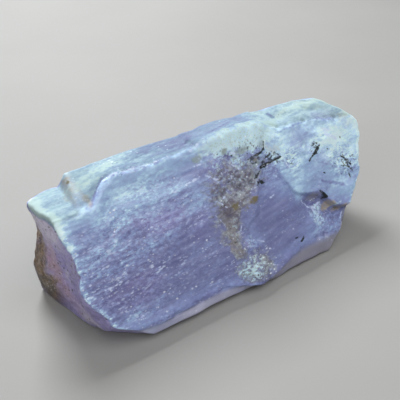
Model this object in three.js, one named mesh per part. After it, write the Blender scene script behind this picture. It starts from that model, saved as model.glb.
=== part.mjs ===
// Kunzite crystal: a flattened prism of spodumene, broken off at both ends and lying on its flat side.
// Millimetres, +Z up, the crystal's long axis along +X. The origin is under the middle of its box.
//
// The skin is one closed grid. Rings of points run round the crystal, station by station along its
// length, and shrinking rings close the two broken ends. Each ring follows the section's edges, which
// wander a little along the crystal, and low relief is added along the skin's own normal.
// Stations x are measured from the left end, y from the top back edge and z from the flat base.
import * as THREE from 'three';

// ---- driving dimensions ------------------------------------------------------------------------
const TOP = 28.2; // height of the narrow flat strip on top
const STRIP = 6.2; // width of that strip
const FRONT = 25.4; // reach of the lower front edge in front of the top back edge
const FRONT_HEIGHT = 4.1; // height of the lower front edge
const FOOT_HEIGHT = 1.7; // height of the undercut lip above the toe
const TOE = 21.8; // where the flat base starts, in front of the top back edge
const BELLY = 3.6; // how far the back bulges out
const LEDGE = 1.6; // depth of the splintered step that runs along the back
const EDGE_ROUND = 0.45; // wear on the long edges

// Edges round the section, as [y, z], and how far each wanders along the crystal, as [x, dy, dz].
const EDGES = [
  {
    name: 'top back',
    at: [0.3, TOP],
    wander: [[0, -2.6, 0], [3, -0.6, 0], [6, 0.1, 0], [10, -0.3, 0], [22, 0.1, 0], [36, -0.4, 0],
      [53, -0.5, 0], [62, -0.6, 0], [70, -1.4, 0], [80, -4.6, -0.6]],
  },
  {
    name: 'ridge',
    at: [-STRIP, TOP],
    wander: [[0, -2.3, -2.7], [10.6, -2.3, -2.7], [15.4, 0.1, 0], [24, -0.2, -0.2], [36, 0.1, 0],
      [46, 0.5, 0.5], [53, 0.3, 0.2], [58, -1.1, -1.5], [68, -1.6, -2.1], [74, -2.5, -3.2],
      [82, -3.4, -4.3]],
  },
  {
    name: 'lower front',
    at: [-FRONT, FRONT_HEIGHT],
    wander: [[0, 0.4, 0.6], [11, 0.3, 0.4], [16, -0.1, -0.1], [24, 0.1, 0], [33, 0, 0.1],
      [40, -1.4, -1.8], [46, -0.8, -1], [54, 0.7, 1], [66, 0.8, 1], [82, 0.8, 1]],
  },
  {
    name: 'front foot',
    at: [-FRONT - 0.2, FOOT_HEIGHT],
    wander: [[0, 0.8, 0.3], [14, 0.2, -0.1], [24, -0.1, -0.1], [33, 0, -0.2], [40, 0.2, -0.6],
      [46, -0.1, -1.2], [50, 0.1, -0.8], [56, 0.1, -1], [62, 0, -1.2], [82, 1.4, -0.8]],
  },
  {
    name: 'toe',
    at: [-TOE, 0],
    wander: [[0, 4, 0], [5, 3, 0], [10, 0.8, 0], [15, 0, 0], [30, -0.4, 0], [46, -1.6, 0],
      [52, 0.4, 0], [62, -0.6, 0], [82, 0.8, 0]],
  },
  {
    name: 'heel',
    at: [0.2, 0],
    wander: [[0, 0.5, 0], [20, 0.4, 0], [45, -0.6, 0], [66, 0.3, 0], [82, 0, 0]],
  },
  {
    name: 'low back',
    at: [0.4 * BELLY, 5.5],
    wander: [[0, 0, 0], [18, 0.2, 0.8], [42, 0.5, -0.6], [64, 0.2, 0.4], [82, -0.2, 0]],
  },
  {
    name: 'ledge foot',
    at: [BELLY - LEDGE, 10.8],
    wander: [[0, -0.7, 0], [10, 0.3, 0.6], [16, 0, 0.2], [34, 0.1, -0.8], [52, -0.3, 1],
      [62, 0.7, 0.4], [82, -0.6, 0]],
  },
  {
    name: 'ledge lip',
    at: [BELLY - 0.2, 11.7],
    wander: [[0, -2.1, 0.4], [10, -1, 0.6], [16, -0.3, 0.2], [34, 0.2, -0.9], [52, 0.1, 0.8],
      [62, -0.6, 0.6], [82, -1.9, 0.4]],
  },
  {
    name: 'belly',
    at: [BELLY, 17],
    wander: [[0, -2.4, 0], [16, -0.9, 1], [40, 0.2, -1.2], [60, -0.5, 0.8], [82, -2.2, 0]],
  },
];

// Chip at the left end: a shelf under the top strip, and the wall that climbs back up to it.
const SHELF = { height: 25.1, wallFrom: 7.6, wallTo: 10.6, dish: 0.2, round: 1.2 };

// Relief on the sloping face. Places on it are stations x and distances down from the ridge.
const HOLLOW = { x: [14, 34], down: [2, 6], depth: 0.3 };
const LIP = { x: [38, 54], reach: 1.6, height: 0.55 };
const SCAR = {
  left: [[0, 36], [7, 38.4], [10, 36.5], [18, 38.4], [23, 37], [31, 39.6]],
  right: [[0, 54.6], [5, 51.8], [10, 50.2], [13, 48.4], [17, 46], [20, 40.9], [26, 43.4], [31, 45]],
  height: 0.4,
  roughness: 0.3,
};
// Frosted block at the right end: its lower rim and the height of the step under it, by station.
const BLOCK = {
  rim: [[52, 5.5], [55, 12.7], [57, 17], [61, 18.7], [64, 20], [67, 24], [70, 25.4], [82, 27]],
  step: [[54, 0], [58, 1.1], [61, 1.6], [65, 2.3], [82, 2.5]],
  swell: 0.25,
};
const PIT = { at: [61.4, 20.9], reach: [2.6, 1.1], height: -1.1 };

// Left end: an oblique break, x growing towards the front, with a blunted lower front corner.
const LEFT = {
  slope: -0.303,
  cornerFrom: 17.2,
  cornerSlope: 1.05,
  bulge: { at: [-19, 12.5], reach: [4.5, 6], height: -2.4 },
  shell: { at: [-9, 9], reach: [4, 6], height: 0.9 },
  notch: { at: [1, 16.5], reach: [5, 6], height: 2.2 },
  roughness: 0.3,
};
// Right end: breaks that meet in a blunt roof, each as x at the origin and its slopes in y and z.
const RIGHT = {
  breaks: [
    { x: 68.9, dy: 0, dz: 0.643 },
    { x: 93.2, dy: -0.577, dz: -0.738 },
    { x: 74.6, dy: -0.9, dz: 0.1 },
    { x: 80.95, dy: 0.77, dz: 0.8 },
  ],
  round: 2.2,
  roughness: 0.4,
};

// ---- grid density ------------------------------------------------------------------------------
const SIDE_STEPS = [5, 30, 3, 3, 4, 2, 3, 1, 3, 5]; // steps on each side of the section
const STATIONS = 62; // steps along the crystal
const CAP_RINGS = 8; // shrinking rings on each end
const RIM_ROW = 18; // distance down of the row that bends along the block's rim
const UPRIGHT = [4, 74]; // where the end stations would stand if they were upright
const SLANT = { left: 0.3, right: 0.45 }; // share of the length over which stations slant with an end
const CENTRES = { left: [-10, 12.5], right: [-12, 13] }; // y and z of the middle of each end

// ---- small helpers -----------------------------------------------------------------------------
const clamp = (t) => Math.min(Math.max(t, 0), 1);
const mix = (a, b, t) => a + (b - a) * t;

// 0 before a, 1 after b, and a smooth step between them.
function ramp(a, b, t) {
  const k = clamp((t - a) / (b - a));
  return k * k * (3 - 2 * k);
}

// 1 inside a..b, fading to 0 over `soft` on both sides.
function band([a, b], soft, t) {
  return ramp(a - soft, a + soft, t) * (1 - ramp(b - soft, b + soft, t));
}

// The lower of two heights, rounded over where they meet.
function softMin(a, b, round) {
  const t = clamp(0.5 + (0.5 * (b - a)) / round);
  return mix(b, a, t) - round * t * (1 - t);
}

// A smooth hill or dimple at a spot with { at, reach, height }.
function mound(spot, a, b) {
  const [p, q] = [(a - spot.at[0]) / spot.reach[0], (b - spot.at[1]) / spot.reach[1]];
  return spot.height * Math.exp(-p * p - q * q);
}

// A smooth curve through keys of [x, value, ...], read at x in the given column.
function along(keys, x, column = 1) {
  const last = keys.length - 1;
  if (x <= keys[0][0]) return keys[0][column];
  if (x >= keys[last][0]) return keys[last][column];
  const i = keys.findIndex((key) => key[0] > x) - 1;
  const slope = (j) => {
    const a = keys[Math.max(j - 1, 0)];
    const b = keys[Math.min(j + 1, last)];
    return (b[column] - a[column]) / (b[0] - a[0]);
  };
  const step = keys[i + 1][0] - keys[i][0];
  const t = (x - keys[i][0]) / step;
  const start = slope(i) * t * (1 - t) * (1 - t);
  const end = slope(i + 1) * t * t * (t - 1);
  return mix(keys[i][column], keys[i + 1][column], ramp(0, 1, t)) + step * (start + end);
}

// Repeatable value from -1 to 1 for a whole-numbered cell: an integer hash.
function cell(i, j, seed) {
  let h = Math.imul(i, 374761393) + Math.imul(j, 668265263) + Math.imul(seed, 974634777);
  h = Math.imul(h ^ (h >>> 13), 1274126177);
  return ((h ^ (h >>> 16)) >>> 0) / 2147483647.5 - 1;
}

// Lumpy relief from -1 to 1 with lumps one unit across.
function lumps(a, b, seed) {
  const i = Math.floor(a);
  const j = Math.floor(b);
  const p = ramp(0, 1, a - i);
  const q = ramp(0, 1, b - j);
  const low = mix(cell(i, j, seed), cell(i + 1, j, seed), p);
  const high = mix(cell(i, j + 1, seed), cell(i + 1, j + 1, seed), p);
  return mix(low, high, q);
}

// ---- section -----------------------------------------------------------------------------------
// Distance round the section at which each edge lies, with the whole girth last.
const MARKS = EDGES.reduce((marks, edge, i) => {
  const next = EDGES[(i + 1) % EDGES.length].at;
  return [...marks, marks[i] + Math.hypot(next[0] - edge.at[0], next[1] - edge.at[1])];
}, [0]);
const GIRTH = MARKS[EDGES.length];
const [, RIDGE_MARK, FRONT_MARK, , TOE_MARK, HEEL_MARK] = MARKS;
const FACE = FRONT_MARK - RIDGE_MARK; // width of the sloping face

// Straight-sided outline: the point at distance s round the section, at station x.
function outline(s, x) {
  const around = (s + GIRTH) % GIRTH;
  const i = MARKS.findIndex((mark) => mark > around) - 1;
  const t = (around - MARKS[i]) / (MARKS[i + 1] - MARKS[i]);
  const point = (edge) => [1, 2].map((c) => edge.at[c - 1] + along(edge.wander, x, c));
  const a = point(EDGES[i]);
  const b = point(EDGES[(i + 1) % EDGES.length]);
  return [mix(a[0], b[0], t), mix(a[1], b[1], t)];
}

// Height that the chip leaves standing at the left end.
function ceiling(x, y) {
  const rise = ramp(SHELF.wallFrom, SHELF.wallTo, x);
  return SHELF.height + SHELF.dish * lumps(x / 3, y / 3, 5) + (TOP + 2 - SHELF.height) * rise;
}

// Outline with its edges worn round, cut down to the ceiling of the chip.
function section(s, x) {
  const points = [-1, -0.5, 0, 0.5, 1].map((k) => outline(s + k * EDGE_ROUND, x));
  const [y, z] = [0, 1].map((c) => points.reduce((sum, p) => sum + p[c], 0) / points.length);
  return [y, softMin(z, ceiling(x, y), SHELF.round)];
}

// ---- relief along the skin's normal ------------------------------------------------------------
function scar(x, down) {
  const fromLeft = ramp(-0.6, 0.8, x - along(SCAR.left, down));
  const fromRight = 1 - ramp(-0.8, 1.2, x - along(SCAR.right, down));
  return fromLeft * fromRight * (SCAR.height + SCAR.roughness * lumps(x / 2.8, down / 2.8, 11));
}

function frostedBlock(x, down) {
  const below = down - along(BLOCK.rim, x);
  const recovery = 1 - 0.75 * ramp(2, 9, below);
  const step = -along(BLOCK.step, x) * ramp(-0.1, 1.1, below) * recovery;
  const swell = BLOCK.swell * lumps(x / 5, down / 5, 21) * ramp(53, 57, x);
  return (step + swell + mound(PIT, x, down)) * ramp(1, 4, down);
}

function slopingFace(x, down) {
  const hollow = -HOLLOW.depth * band(HOLLOW.down, 1.5, down) * band(HOLLOW.x, 3, x);
  const grooves = 0.1 * lumps(x / 18, down / 3, 31);
  return (hollow + grooves) * band([0.5, FACE - 0.8], 0.8, down) + scar(x, down) + frostedBlock(x, down);
}

// Crust raised along the ridge above the scar.
function lip(x, down) {
  const crest = LIP.height * band(LIP.x, 2.2, x) * Math.exp(-((down / LIP.reach) ** 2));
  return crest * (1 + 0.5 * lumps(x / 2.2, 0, 41));
}

function topStrip(x, down) {
  return 0.1 * lumps(x / 12, down / 1.5, 62) * (1 - ramp(-1, 0, down));
}

// Lumps under the lower front edge, gone where the crystal meets the surface it lies on.
function undercut(s, x) {
  return 0.25 * lumps(x / 4, s / 2, 61) * (1 - ramp(FRONT_MARK, TOE_MARK, s));
}

// Long shallow splinters on the back.
function splinters(x, up) {
  return 0.3 * lumps(x / 13, up / 3.2, 51) * band([2, GIRTH - HEEL_MARK - 2], 1.5, up);
}

function relief(s, x) {
  if (s > HEEL_MARK) return splinters(x, s - HEEL_MARK);
  if (s > FRONT_MARK) return undercut(s, x);
  const down = s - RIDGE_MARK;
  return slopingFace(x, down) + lip(x, down) + topStrip(x, down);
}

// The skin: the section moved out by its relief, never below the flat base.
function skin(s, x) {
  const [y, z] = section(s, x);
  const [before, after] = [-0.3, 0.3].map((step) => section(s + step, x));
  const run = [after[0] - before[0], after[1] - before[1]];
  const out = relief(s, x) / Math.hypot(...run);
  return [y + run[1] * out, Math.max(z - run[0] * out, 0)];
}

// ---- broken ends -------------------------------------------------------------------------------
function leftEnd(y, z) {
  const corner = LEFT.cornerSlope * Math.max(0, -y - z - LEFT.cornerFrom);
  const forms = [LEFT.bulge, LEFT.shell, LEFT.notch].reduce((sum, spot) => sum + mound(spot, y, z), 0);
  const hackle = LEFT.roughness * lumps((y + 0.5 * z) / 3.6, z / 5, 71);
  return LEFT.slope * y + corner + forms + hackle;
}

function rightEnd(y, z) {
  const planes = RIGHT.breaks.map((plane) => plane.x + plane.dy * y + plane.dz * z);
  const reach = planes.reduce((low, plane) => softMin(low, plane, RIGHT.round));
  return reach + RIGHT.roughness * lumps(y / 3.6, z / 3.6, 81);
}

// ---- grid --------------------------------------------------------------------------------------
// Rows on the sloping face bend so that one of them runs along the frosted block's lower rim.
function followRim(s, x) {
  const down = s - RIDGE_MARK;
  if (down <= 0 || down >= FACE) return s;
  const rim = mix(RIM_ROW, along(BLOCK.rim, x), ramp(52, 57, x));
  if (down < RIM_ROW) return RIDGE_MARK + (down * rim) / RIM_ROW;
  return RIDGE_MARK + mix(rim, FACE, (down - RIM_ROW) / (FACE - RIM_ROW));
}

const skinPoint = (s, x) => [x, ...skin(followRim(s, x), x)];

// Station at which the row at distance s round the section meets a broken end, found by steps.
function meet(s, end, guess) {
  let x = guess;
  for (let i = 0; i < 20; i += 1) {
    const [, y, z] = skinPoint(s, x);
    x = mix(x, end(y, z), 0.5);
  }
  return x;
}

// Distances round the section of the points of one ring.
function ringMarks() {
  return EDGES.flatMap((edge, i) => {
    const steps = [...Array(SIDE_STEPS[i]).keys()];
    return steps.map((k) => mix(MARKS[i], MARKS[i + 1], k / SIDE_STEPS[i]));
  });
}

// Station for the share a of the length: slanted like the ends near them, upright between.
function station(a, left, right) {
  const nearLeft = clamp(1 - a / SLANT.left) ** 2;
  const nearRight = clamp(1 - (1 - a) / SLANT.right) ** 2;
  const upright = mix(UPRIGHT[0], UPRIGHT[1], a);
  return upright + (left - UPRIGHT[0]) * nearLeft + (right - UPRIGHT[1]) * nearRight;
}

// Rings that shrink from just inside the rim to just outside the middle of a broken end.
function capRings(rim, end, centre) {
  return [...Array(CAP_RINGS - 1).keys()].map((k) => {
    const r = 1 - (k + 1) / CAP_RINGS;
    return rim.map(([, y, z]) => {
      const [py, pz] = [mix(centre[0], y, r), mix(centre[1], z, r)];
      return [end(py, pz), py, pz];
    });
  });
}

function crystalRings() {
  const marks = ringMarks();
  const left = marks.map((s) => meet(s, leftEnd, UPRIGHT[0]));
  const right = marks.map((s) => meet(s, rightEnd, UPRIGHT[1]));
  const body = [...Array(STATIONS + 1).keys()].map((k) => (
    marks.map((s, i) => skinPoint(s, station(k / STATIONS, left[i], right[i])))
  ));
  const leftCap = capRings(body[0], leftEnd, CENTRES.left).reverse();
  const rightCap = capRings(body[STATIONS], rightEnd, CENTRES.right);
  return [...leftCap, ...body, ...rightCap];
}

// Closed surface through the rings, with a point in the middle of each end.
function closedGeometry(rings, firstPole, lastPole) {
  const count = rings[0].length;
  const points = [...rings.flat(), firstPole, lastPole];
  const first = points.length - 2;
  const last = points.length - 1;
  const end = (rings.length - 1) * count;
  const faces = [];
  for (let j = 0; j < count; j += 1) {
    const next = (j + 1) % count;
    for (let i = 0; i + 1 < rings.length; i += 1) {
      const a = i * count;
      const b = a + count;
      faces.push(a + j, a + next, b + j, a + next, b + next, b + j);
    }
    faces.push(first, next, j, last, end + j, end + next);
  }
  const geometry = new THREE.BufferGeometry();
  geometry.setAttribute('position', new THREE.Float32BufferAttribute(points.flat(), 3));
  geometry.setIndex(faces);
  return geometry;
}

function crystal() {
  const poles = [[leftEnd, CENTRES.left], [rightEnd, CENTRES.right]];
  const geometry = closedGeometry(crystalRings(), ...poles.map(([end, at]) => [end(...at), ...at]));
  geometry.computeBoundingBox();
  const { min, max } = geometry.boundingBox;
  geometry.translate(-(min.x + max.x) / 2, -(min.y + max.y) / 2, -min.z);
  geometry.computeVertexNormals();
  const material = new THREE.MeshStandardMaterial({ color: 0x9fa3c8, roughness: 0.45, metalness: 0 });
  const mesh = new THREE.Mesh(geometry, material);
  mesh.name = 'kunzite_crystal';
  return mesh;
}

const part = new THREE.Group();
part.add(crystal());

export default part;
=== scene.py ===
"""Kunzite crystal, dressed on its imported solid, laid out as a Blender add-on.

The crystal is one numpy surface: rings of points run round the section, station by station along
the crystal, and shrinking rings close its two broken ends. The fine striations, grains and pits that
are too small for the solid are added along the skin's normal, and the marks on the faces (frost,
scar, rust, needles) are stored on the vertices as soft zones and distances, which the material reads.

Crystal coordinates are millimetres: x from the left end, y from the top back edge, z from the base.
Places on the sloping face are (x, down), with down measured from the ridge.
"""

import math

import bpy
import numpy as np
from bpy.props import FloatProperty, FloatVectorProperty, IntProperty, PointerProperty
from mathutils import Euler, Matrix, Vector


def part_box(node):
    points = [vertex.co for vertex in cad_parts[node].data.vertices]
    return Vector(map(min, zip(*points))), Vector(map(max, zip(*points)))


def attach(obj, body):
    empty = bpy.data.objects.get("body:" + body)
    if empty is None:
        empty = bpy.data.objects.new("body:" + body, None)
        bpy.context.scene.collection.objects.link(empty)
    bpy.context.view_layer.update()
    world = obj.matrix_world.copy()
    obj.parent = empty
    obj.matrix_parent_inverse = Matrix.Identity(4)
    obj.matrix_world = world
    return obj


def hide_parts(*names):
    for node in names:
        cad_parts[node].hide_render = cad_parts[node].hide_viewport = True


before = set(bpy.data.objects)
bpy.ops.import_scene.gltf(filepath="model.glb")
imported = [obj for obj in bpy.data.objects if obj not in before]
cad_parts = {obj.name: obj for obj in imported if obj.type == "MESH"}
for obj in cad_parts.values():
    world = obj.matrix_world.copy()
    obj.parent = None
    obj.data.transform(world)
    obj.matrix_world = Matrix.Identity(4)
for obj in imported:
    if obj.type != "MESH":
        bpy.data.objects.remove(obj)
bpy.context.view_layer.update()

bl_info = {
    "name": "Kunzite Crystal",
    "version": (1, 0, 0),
    "blender": (4, 5, 0),
    "location": "View3D > Sidebar > Crystal",
    "description": "Builds a rough kunzite crystal and a studio stage round it",
    "category": "Add Mesh",
}

NODE = "kunzite_crystal"
MM = 0.001

# ---- section -------------------------------------------------------------------------------------
TOP = 28.2  # height of the narrow flat strip on top
STRIP = 6.2  # width of that strip
FRONT = 25.4  # reach of the lower front edge in front of the top back edge
FRONT_HEIGHT = 4.1  # height of the lower front edge
FOOT_HEIGHT = 1.7  # height of the undercut lip above the toe
TOE = 21.8  # where the flat base starts, in front of the top back edge
BELLY = 3.6  # how far the back bulges out
LEDGE = 1.6  # depth of the splintered step along the back
SPLINTER_HEIGHT = 0.3  # height of the low splinters on the back
EDGE_ROUND = 0.45  # wear on the long edges

# Edges round the section, each as its (y, z) and how it wanders along the crystal, as (x, dy, dz).
EDGES = (
    # top back
    ((0.3, TOP), ((0, -2.6, 0), (3, -0.6, 0), (6, 0.1, 0), (10, -0.3, 0), (22, 0.1, 0), (36, -0.4, 0),
                  (53, -0.5, 0), (62, -0.6, 0), (70, -1.4, 0), (80, -4.6, -0.6))),
    # ridge
    ((-STRIP, TOP), ((0, -2.3, -2.7), (10.6, -2.3, -2.7), (15.4, 0.1, 0), (24, -0.2, -0.2), (36, 0.1, 0),
                     (46, 0.5, 0.5), (53, 0.3, 0.2), (58, -1.1, -1.5), (68, -1.6, -2.1),
                     (74, -2.5, -3.2), (82, -3.4, -4.3))),
    # lower front
    ((-FRONT, FRONT_HEIGHT), ((0, 0.4, 0.6), (11, 0.3, 0.4), (16, -0.1, -0.1), (24, 0.1, 0), (33, 0, 0.1),
                              (40, -1.4, -1.8), (46, -0.8, -1), (54, 0.7, 1), (66, 0.8, 1), (82, 0.8, 1))),
    # front foot
    ((-FRONT - 0.2, FOOT_HEIGHT), ((0, 0.8, 0.3), (14, 0.2, -0.1), (24, -0.1, -0.1), (33, 0, -0.2),
                                   (40, 0.2, -0.6), (46, -0.1, -1.2), (50, 0.1, -0.8), (56, 0.1, -1),
                                   (62, 0, -1.2), (82, 1.4, -0.8))),
    # toe
    ((-TOE, 0), ((0, 4, 0), (5, 3, 0), (10, 0.8, 0), (15, 0, 0), (30, -0.4, 0), (46, -1.6, 0),
                 (52, 0.4, 0), (62, -0.6, 0), (82, 0.8, 0))),
    # heel
    ((0.2, 0), ((0, 0.5, 0), (20, 0.4, 0), (45, -0.6, 0), (66, 0.3, 0), (82, 0, 0))),
    # low back
    ((0.4 * BELLY, 5.5), ((0, 0, 0), (18, 0.2, 0.8), (42, 0.5, -0.6), (64, 0.2, 0.4), (82, -0.2, 0))),
    # ledge foot
    ((BELLY - LEDGE, 10.8), ((0, -0.7, 0), (10, 0.3, 0.6), (16, 0, 0.2), (34, 0.1, -0.8), (52, -0.3, 1),
                             (62, 0.7, 0.4), (82, -0.6, 0))),
    # ledge lip
    ((BELLY - 0.2, 11.7), ((0, -2.1, 0.4), (10, -1, 0.6), (16, -0.3, 0.2), (34, 0.2, -0.9),
                           (52, 0.1, 0.8), (62, -0.6, 0.6), (82, -1.9, 0.4))),
    # belly
    ((BELLY, 17), ((0, -2.4, 0), (16, -0.9, 1), (40, 0.2, -1.2), (60, -0.5, 0.8), (82, -2.2, 0))),
)
CORNERS = np.array([at for at, _ in EDGES], float)
SIDES = np.linalg.norm(np.roll(CORNERS, -1, axis=0) - CORNERS, axis=1)
MARKS = np.concatenate([[0.0], np.cumsum(SIDES)])  # distance round the section of each edge
GIRTH = MARKS[-1]
RIDGE_MARK, FRONT_MARK, _, TOE_MARK, HEEL_MARK = MARKS[1:6]
FACE = FRONT_MARK - RIDGE_MARK

# Chip at the left end: a shelf under the top strip and the wall that climbs back up to it.
SHELF = 25.1
SHELF_WALL = (7.6, 10.6)
SHELF_ROUND = 1.2

# Forms on the sloping face, as stations and distances down. RIM is the frosted block's lower rim, and
# SWELL_X to MILKY_X are where the block's swellings, bent rows, facets and frost set in.
HOLLOW_X, HOLLOW_DOWN, HOLLOW_DEPTH = (14, 34), (2, 6), 0.3
LIP_X, LIP_REACH, LIP_HEIGHT = (38, 54), 1.6, 0.55
SCAR_HEIGHT, SCAR_LUMPS = 0.4, 0.3
SCAR_LEFT = ((0, 36), (7, 38.4), (10, 36.5), (18, 38.4), (23, 37), (31, 39.6))
SCAR_RIGHT = ((0, 54.6), (5, 51.8), (10, 50.2), (13, 48.4), (17, 46), (20, 40.9), (26, 43.4), (31, 45))
RIM = ((52, 5.5), (55, 12.7), (57, 17), (61, 18.7), (64, 20), (67, 24), (70, 25.4), (82, 27))
SWELL_X, BENT_X, FACET_X, MILKY_X = (53, 57), (52, 57), (54, 60), (50, 59)
SWELL_HEIGHT = 0.25
RIM_STEP = ((54, 0), (58, 1.1), (61, 1.6), (65, 2.3), (82, 2.5))
PIT = ((61.4, 20.9), (2.6, 1.1), -1.1)  # place, reach and height
GROOVE = ((15.4, -0.3), (10.8, 0.4), 0)  # beside the chip: two ends and half width

# Broken ends: x as a plane over y and z, with hollows and bulges.
LEFT_SLOPE, LEFT_CORNER, LEFT_CORNER_SLOPE = -0.303, 17.2, 1.05
LEFT_BULGE = ((-19, 12.5), (4.5, 6), -2.4)
LEFT_SHELL = ((-9, 9), (4, 6), 0.9)
LEFT_NOTCH = ((1, 16.5), (5, 6), 2.2)
RIGHT_BREAKS = ((68.9, 0, 0.643), (93.2, -0.577, -0.738), (74.6, -0.9, 0.1), (80.95, 0.77, 0.8))
RIGHT_ROUND = 2.2
END_CENTRES = ((-10, 12.5), (-12, 13))

# ---- grid ----------------------------------------------------------------------------------------
# Steps on each of the section's sides, stations along it and rings on an end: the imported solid's own,
# to line up with it, and the finer ones of the dressed crystal.
SOLID_STEPS, SOLID_STATIONS, SOLID_CAP_RINGS = (5, 30, 3, 3, 4, 2, 3, 1, 3, 5), 62, 8
FINE_STEPS, FINE_STATIONS, FINE_CAP_RINGS = (22, 104, 8, 10, 6, 8, 10, 4, 10, 18), 396, 44
RIM_ROW = 18  # distance down of the row that bends along the block's rim
UPRIGHT = (4, 74)  # stations of the sections that would end the crystal if it weren't slanted
SLANT = (0.3, 0.45)  # shares of the length over which the sections lean like the ends
RIM_WEAR_RINGS = 5  # rings each side of a broken rim that wear rounds over
MEET_STEPS = 20  # halvings of the gap between a row and a broken end

# Where the marks of the ends and the faces meet, in rings of the fine grid.
COVER_RINGS = 3  # over which the left end's look gives way to the faces'
TIP_INSET, BACK_OUTSET = 4, 2.5  # shift of that change: inwards at the top, outwards at the stained back
FACE_WEAR_AND_HIGHLIGHT, END_WEAR_AND_HIGHLIGHT, RIGHT_WEAR_AND_HIGHLIGHT = 6.5, 2, 4  # reach of the chipped white, partly a painted highlight, either side of the broken rims
RIGHT_WEAR_AND_HIGHLIGHT_SHARE = 0.5
OFF_FACE = 5  # millimetres added to a mark's distance on the faces that it isn't on

# ---- marks on the sloping face -------------------------------------------------------------------
# Dark needles, each as two ends (x, down) and a half width.
NEEDLES = (
    ((47.6, 6.9), (49.5, 6.9), 0.13), ((49.5, 6.9), (51.5, 6.8), 0.24), ((51.4, 6.8), (52.6, 6.0), 0.2),
    ((52.6, 6.0), (53.2, 4.4), 0.13), ((50.0, 9.7), (51.6, 9.6), 0.34), ((51.4, 9.6), (52.8, 9.4), 0.25),
    ((52.6, 9.5), (53.9, 9.3), 0.17), ((50.9, 8.9), (52.2, 8.2), 0.08), ((52.2, 8.2), (53.9, 7.3), 0.06),
    ((54.0, 9.1), (55.2, 8.6), 0.14), ((55.2, 8.6), (56.4, 7.9), 0.2), ((53.2, 8.6), (55.0, 7.6), 0.06),
    ((54.9, 9.5), (56.5, 9.2), 0.08), ((49.6, 10.2), (48.3, 11.3), 0.11),
    ((48.4, 10.6), (47.6, 11.5), 0.06), ((48.1, 12.3), (49.2, 12.6), 0.16),
    ((48.9, 12.9), (49.8, 13.2), 0.08), ((66.2, 6.7), (67.0, 6.4), 0.1), ((66.4, 7.1), (67.6, 6.8), 0.17),
    ((68.2, 7.6), (66.9, 8.7), 0.11), ((67.9, 7.0), (66.5, 8.0), 0.11), ((67.5, 8.2), (66.1, 9.4), 0.32),
    ((66.2, 9.3), (65.1, 9.9), 0.3), ((65.0, 9.9), (63.9, 10.9), 0.24), ((69.9, 9.0), (70.1, 9.1), 0.13),
    ((75.2, 5.8), (75.0, 6.6), 0.1), ((73.4, 11.6), (74.4, 12.8), 0.14),
    ((74.4, 12.9), (74.3, 14.4), 0.17), ((75.1, 14.6), (75.3, 14.7), 0.2),
    ((74.4, 14.4), (74.4, 15.6), 0.16), ((74.6, 16.0), (74.7, 16.3), 0.16),
    ((74.0, 17.0), (73.9, 18.6), 0.1), ((72.1, 16.7), (71.8, 17.1), 0.1),
    ((76.6, 13.6), (77.5, 13.9), 0.06), ((65.3, 14.3), (66.5, 14.4), 0.06),
    ((66.8, 15.2), (67.1, 15.4), 0.16), ((64.0, 19.5), (64.9, 20.6), 0.26),
    ((64.8, 20.6), (65.3, 21.5), 0.36), ((52.7, 27.9), (53.2, 28.1), 0.11),
    ((53.9, 29.3), (55.0, 28.8), 0.19), ((43.9, 4.75), (44.0, 4.8), 0.12),
)
# White scratches, rims and healed cracks, in the same form. The lines along the ridge from 14.8 to 27.5
# are partly a painted highlight of the lit ridge, and the widest mark on the frosted block is a painted
# reflection.
SCRATCHES_AND_HIGHLIGHTS = (
    # Along the ridge: chipped white, and partly a painted highlight of the lit ridge.
    ((14.8, 0.2), (20.0, -0.1), 0.14), ((20.0, 0.0), (27.5, -0.2), 0.14),
    ((25.0, 8.1), (29.5, 7.1), 0.05), ((29.5, 7.1), (35.0, 6.5), 0.08), ((34.9, 3.8), (36.2, 3.9), 0.14),
    ((36.4, 2.7), (36.8, 3.3), 0.1), ((32.0, 13.0), (31.3, 15.0), 0.0), ((35.0, 0.6), (38.0, -0.4), 0.14),
    ((38.0, -0.4), (42.0, -1.4), 0.02), ((42.0, -1.4), (47.0, -1.7), 0.0),
    ((54.6, 9.4), (53.4, 13.1), 0.03), ((57.0, 8.0), (58.0, 12.0), 0.05),
    ((70.9, 3.4), (72.5, 3.6), 0.34), ((73.3, 0.4), (74.4, 0.7), 0.1), ((61.4, 15.6), (62.4, 15.5), 0.14),
    ((58.8, 20.4), (59.8, 22.4), 0.16), ((59.8, 22.4), (61.6, 23.1), 0.2),
    ((61.6, 23.0), (64.2, 22.4), 0.24), ((60.4, 22.9), (61.4, 25.4), 0.1),
    ((63.4, 22.8), (61.8, 25.0), 0.06), ((50.0, 7.3), (50.5, 7.2), 0.16),
    ((40.0, 8.6), (42.2, 8.4), 0.07), ((39.8, 5.4), (40.3, 7.8), 0.05),
    ((50.0, 16.6), (51.2, 16.5), 0.08), ((54.6, 16.4), (55.6, 16.0), 0.12),
    ((44.3, 4.3), (44.9, 4.6), 0.32), ((71.3, 15.2), (71.7, 15.3), 0.16),
    ((40.6, 18.0), (39.5, 20.0), -0.05), ((40.2, 21.4), (42.4, 22.2), 0.02),
    ((42.4, 22.2), (44.6, 23.6), 0.0), ((69.4, 27.4), (66.8, 30.6), 0.12),
    # Painted reflection: the wide pale mark from (70.9, 4.8) to (73.4, 6.2) on the frosted block.
    ((70.9, 4.8), (73.4, 6.2), 0.5), ((35.4, 14.8), (37.0, 17.6), -0.04), ((0.9, -0.8), (1.8, 0.8), 0.12),
    ((4.0, 8.6), (4.2, 13.0), 0.02), ((38.4, 12.0), (40.0, 11.0), 0.04), ((36.6, 6.4), (39.2, 8.2), 0.03),
    ((40.6, 9.6), (43.4, 9.0), 0.02), ((43.2, 6.4), (44.6, 7.8), 0.03), ((36.2, 11.6), (38.6, 13.8), 0.0),
)
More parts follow.
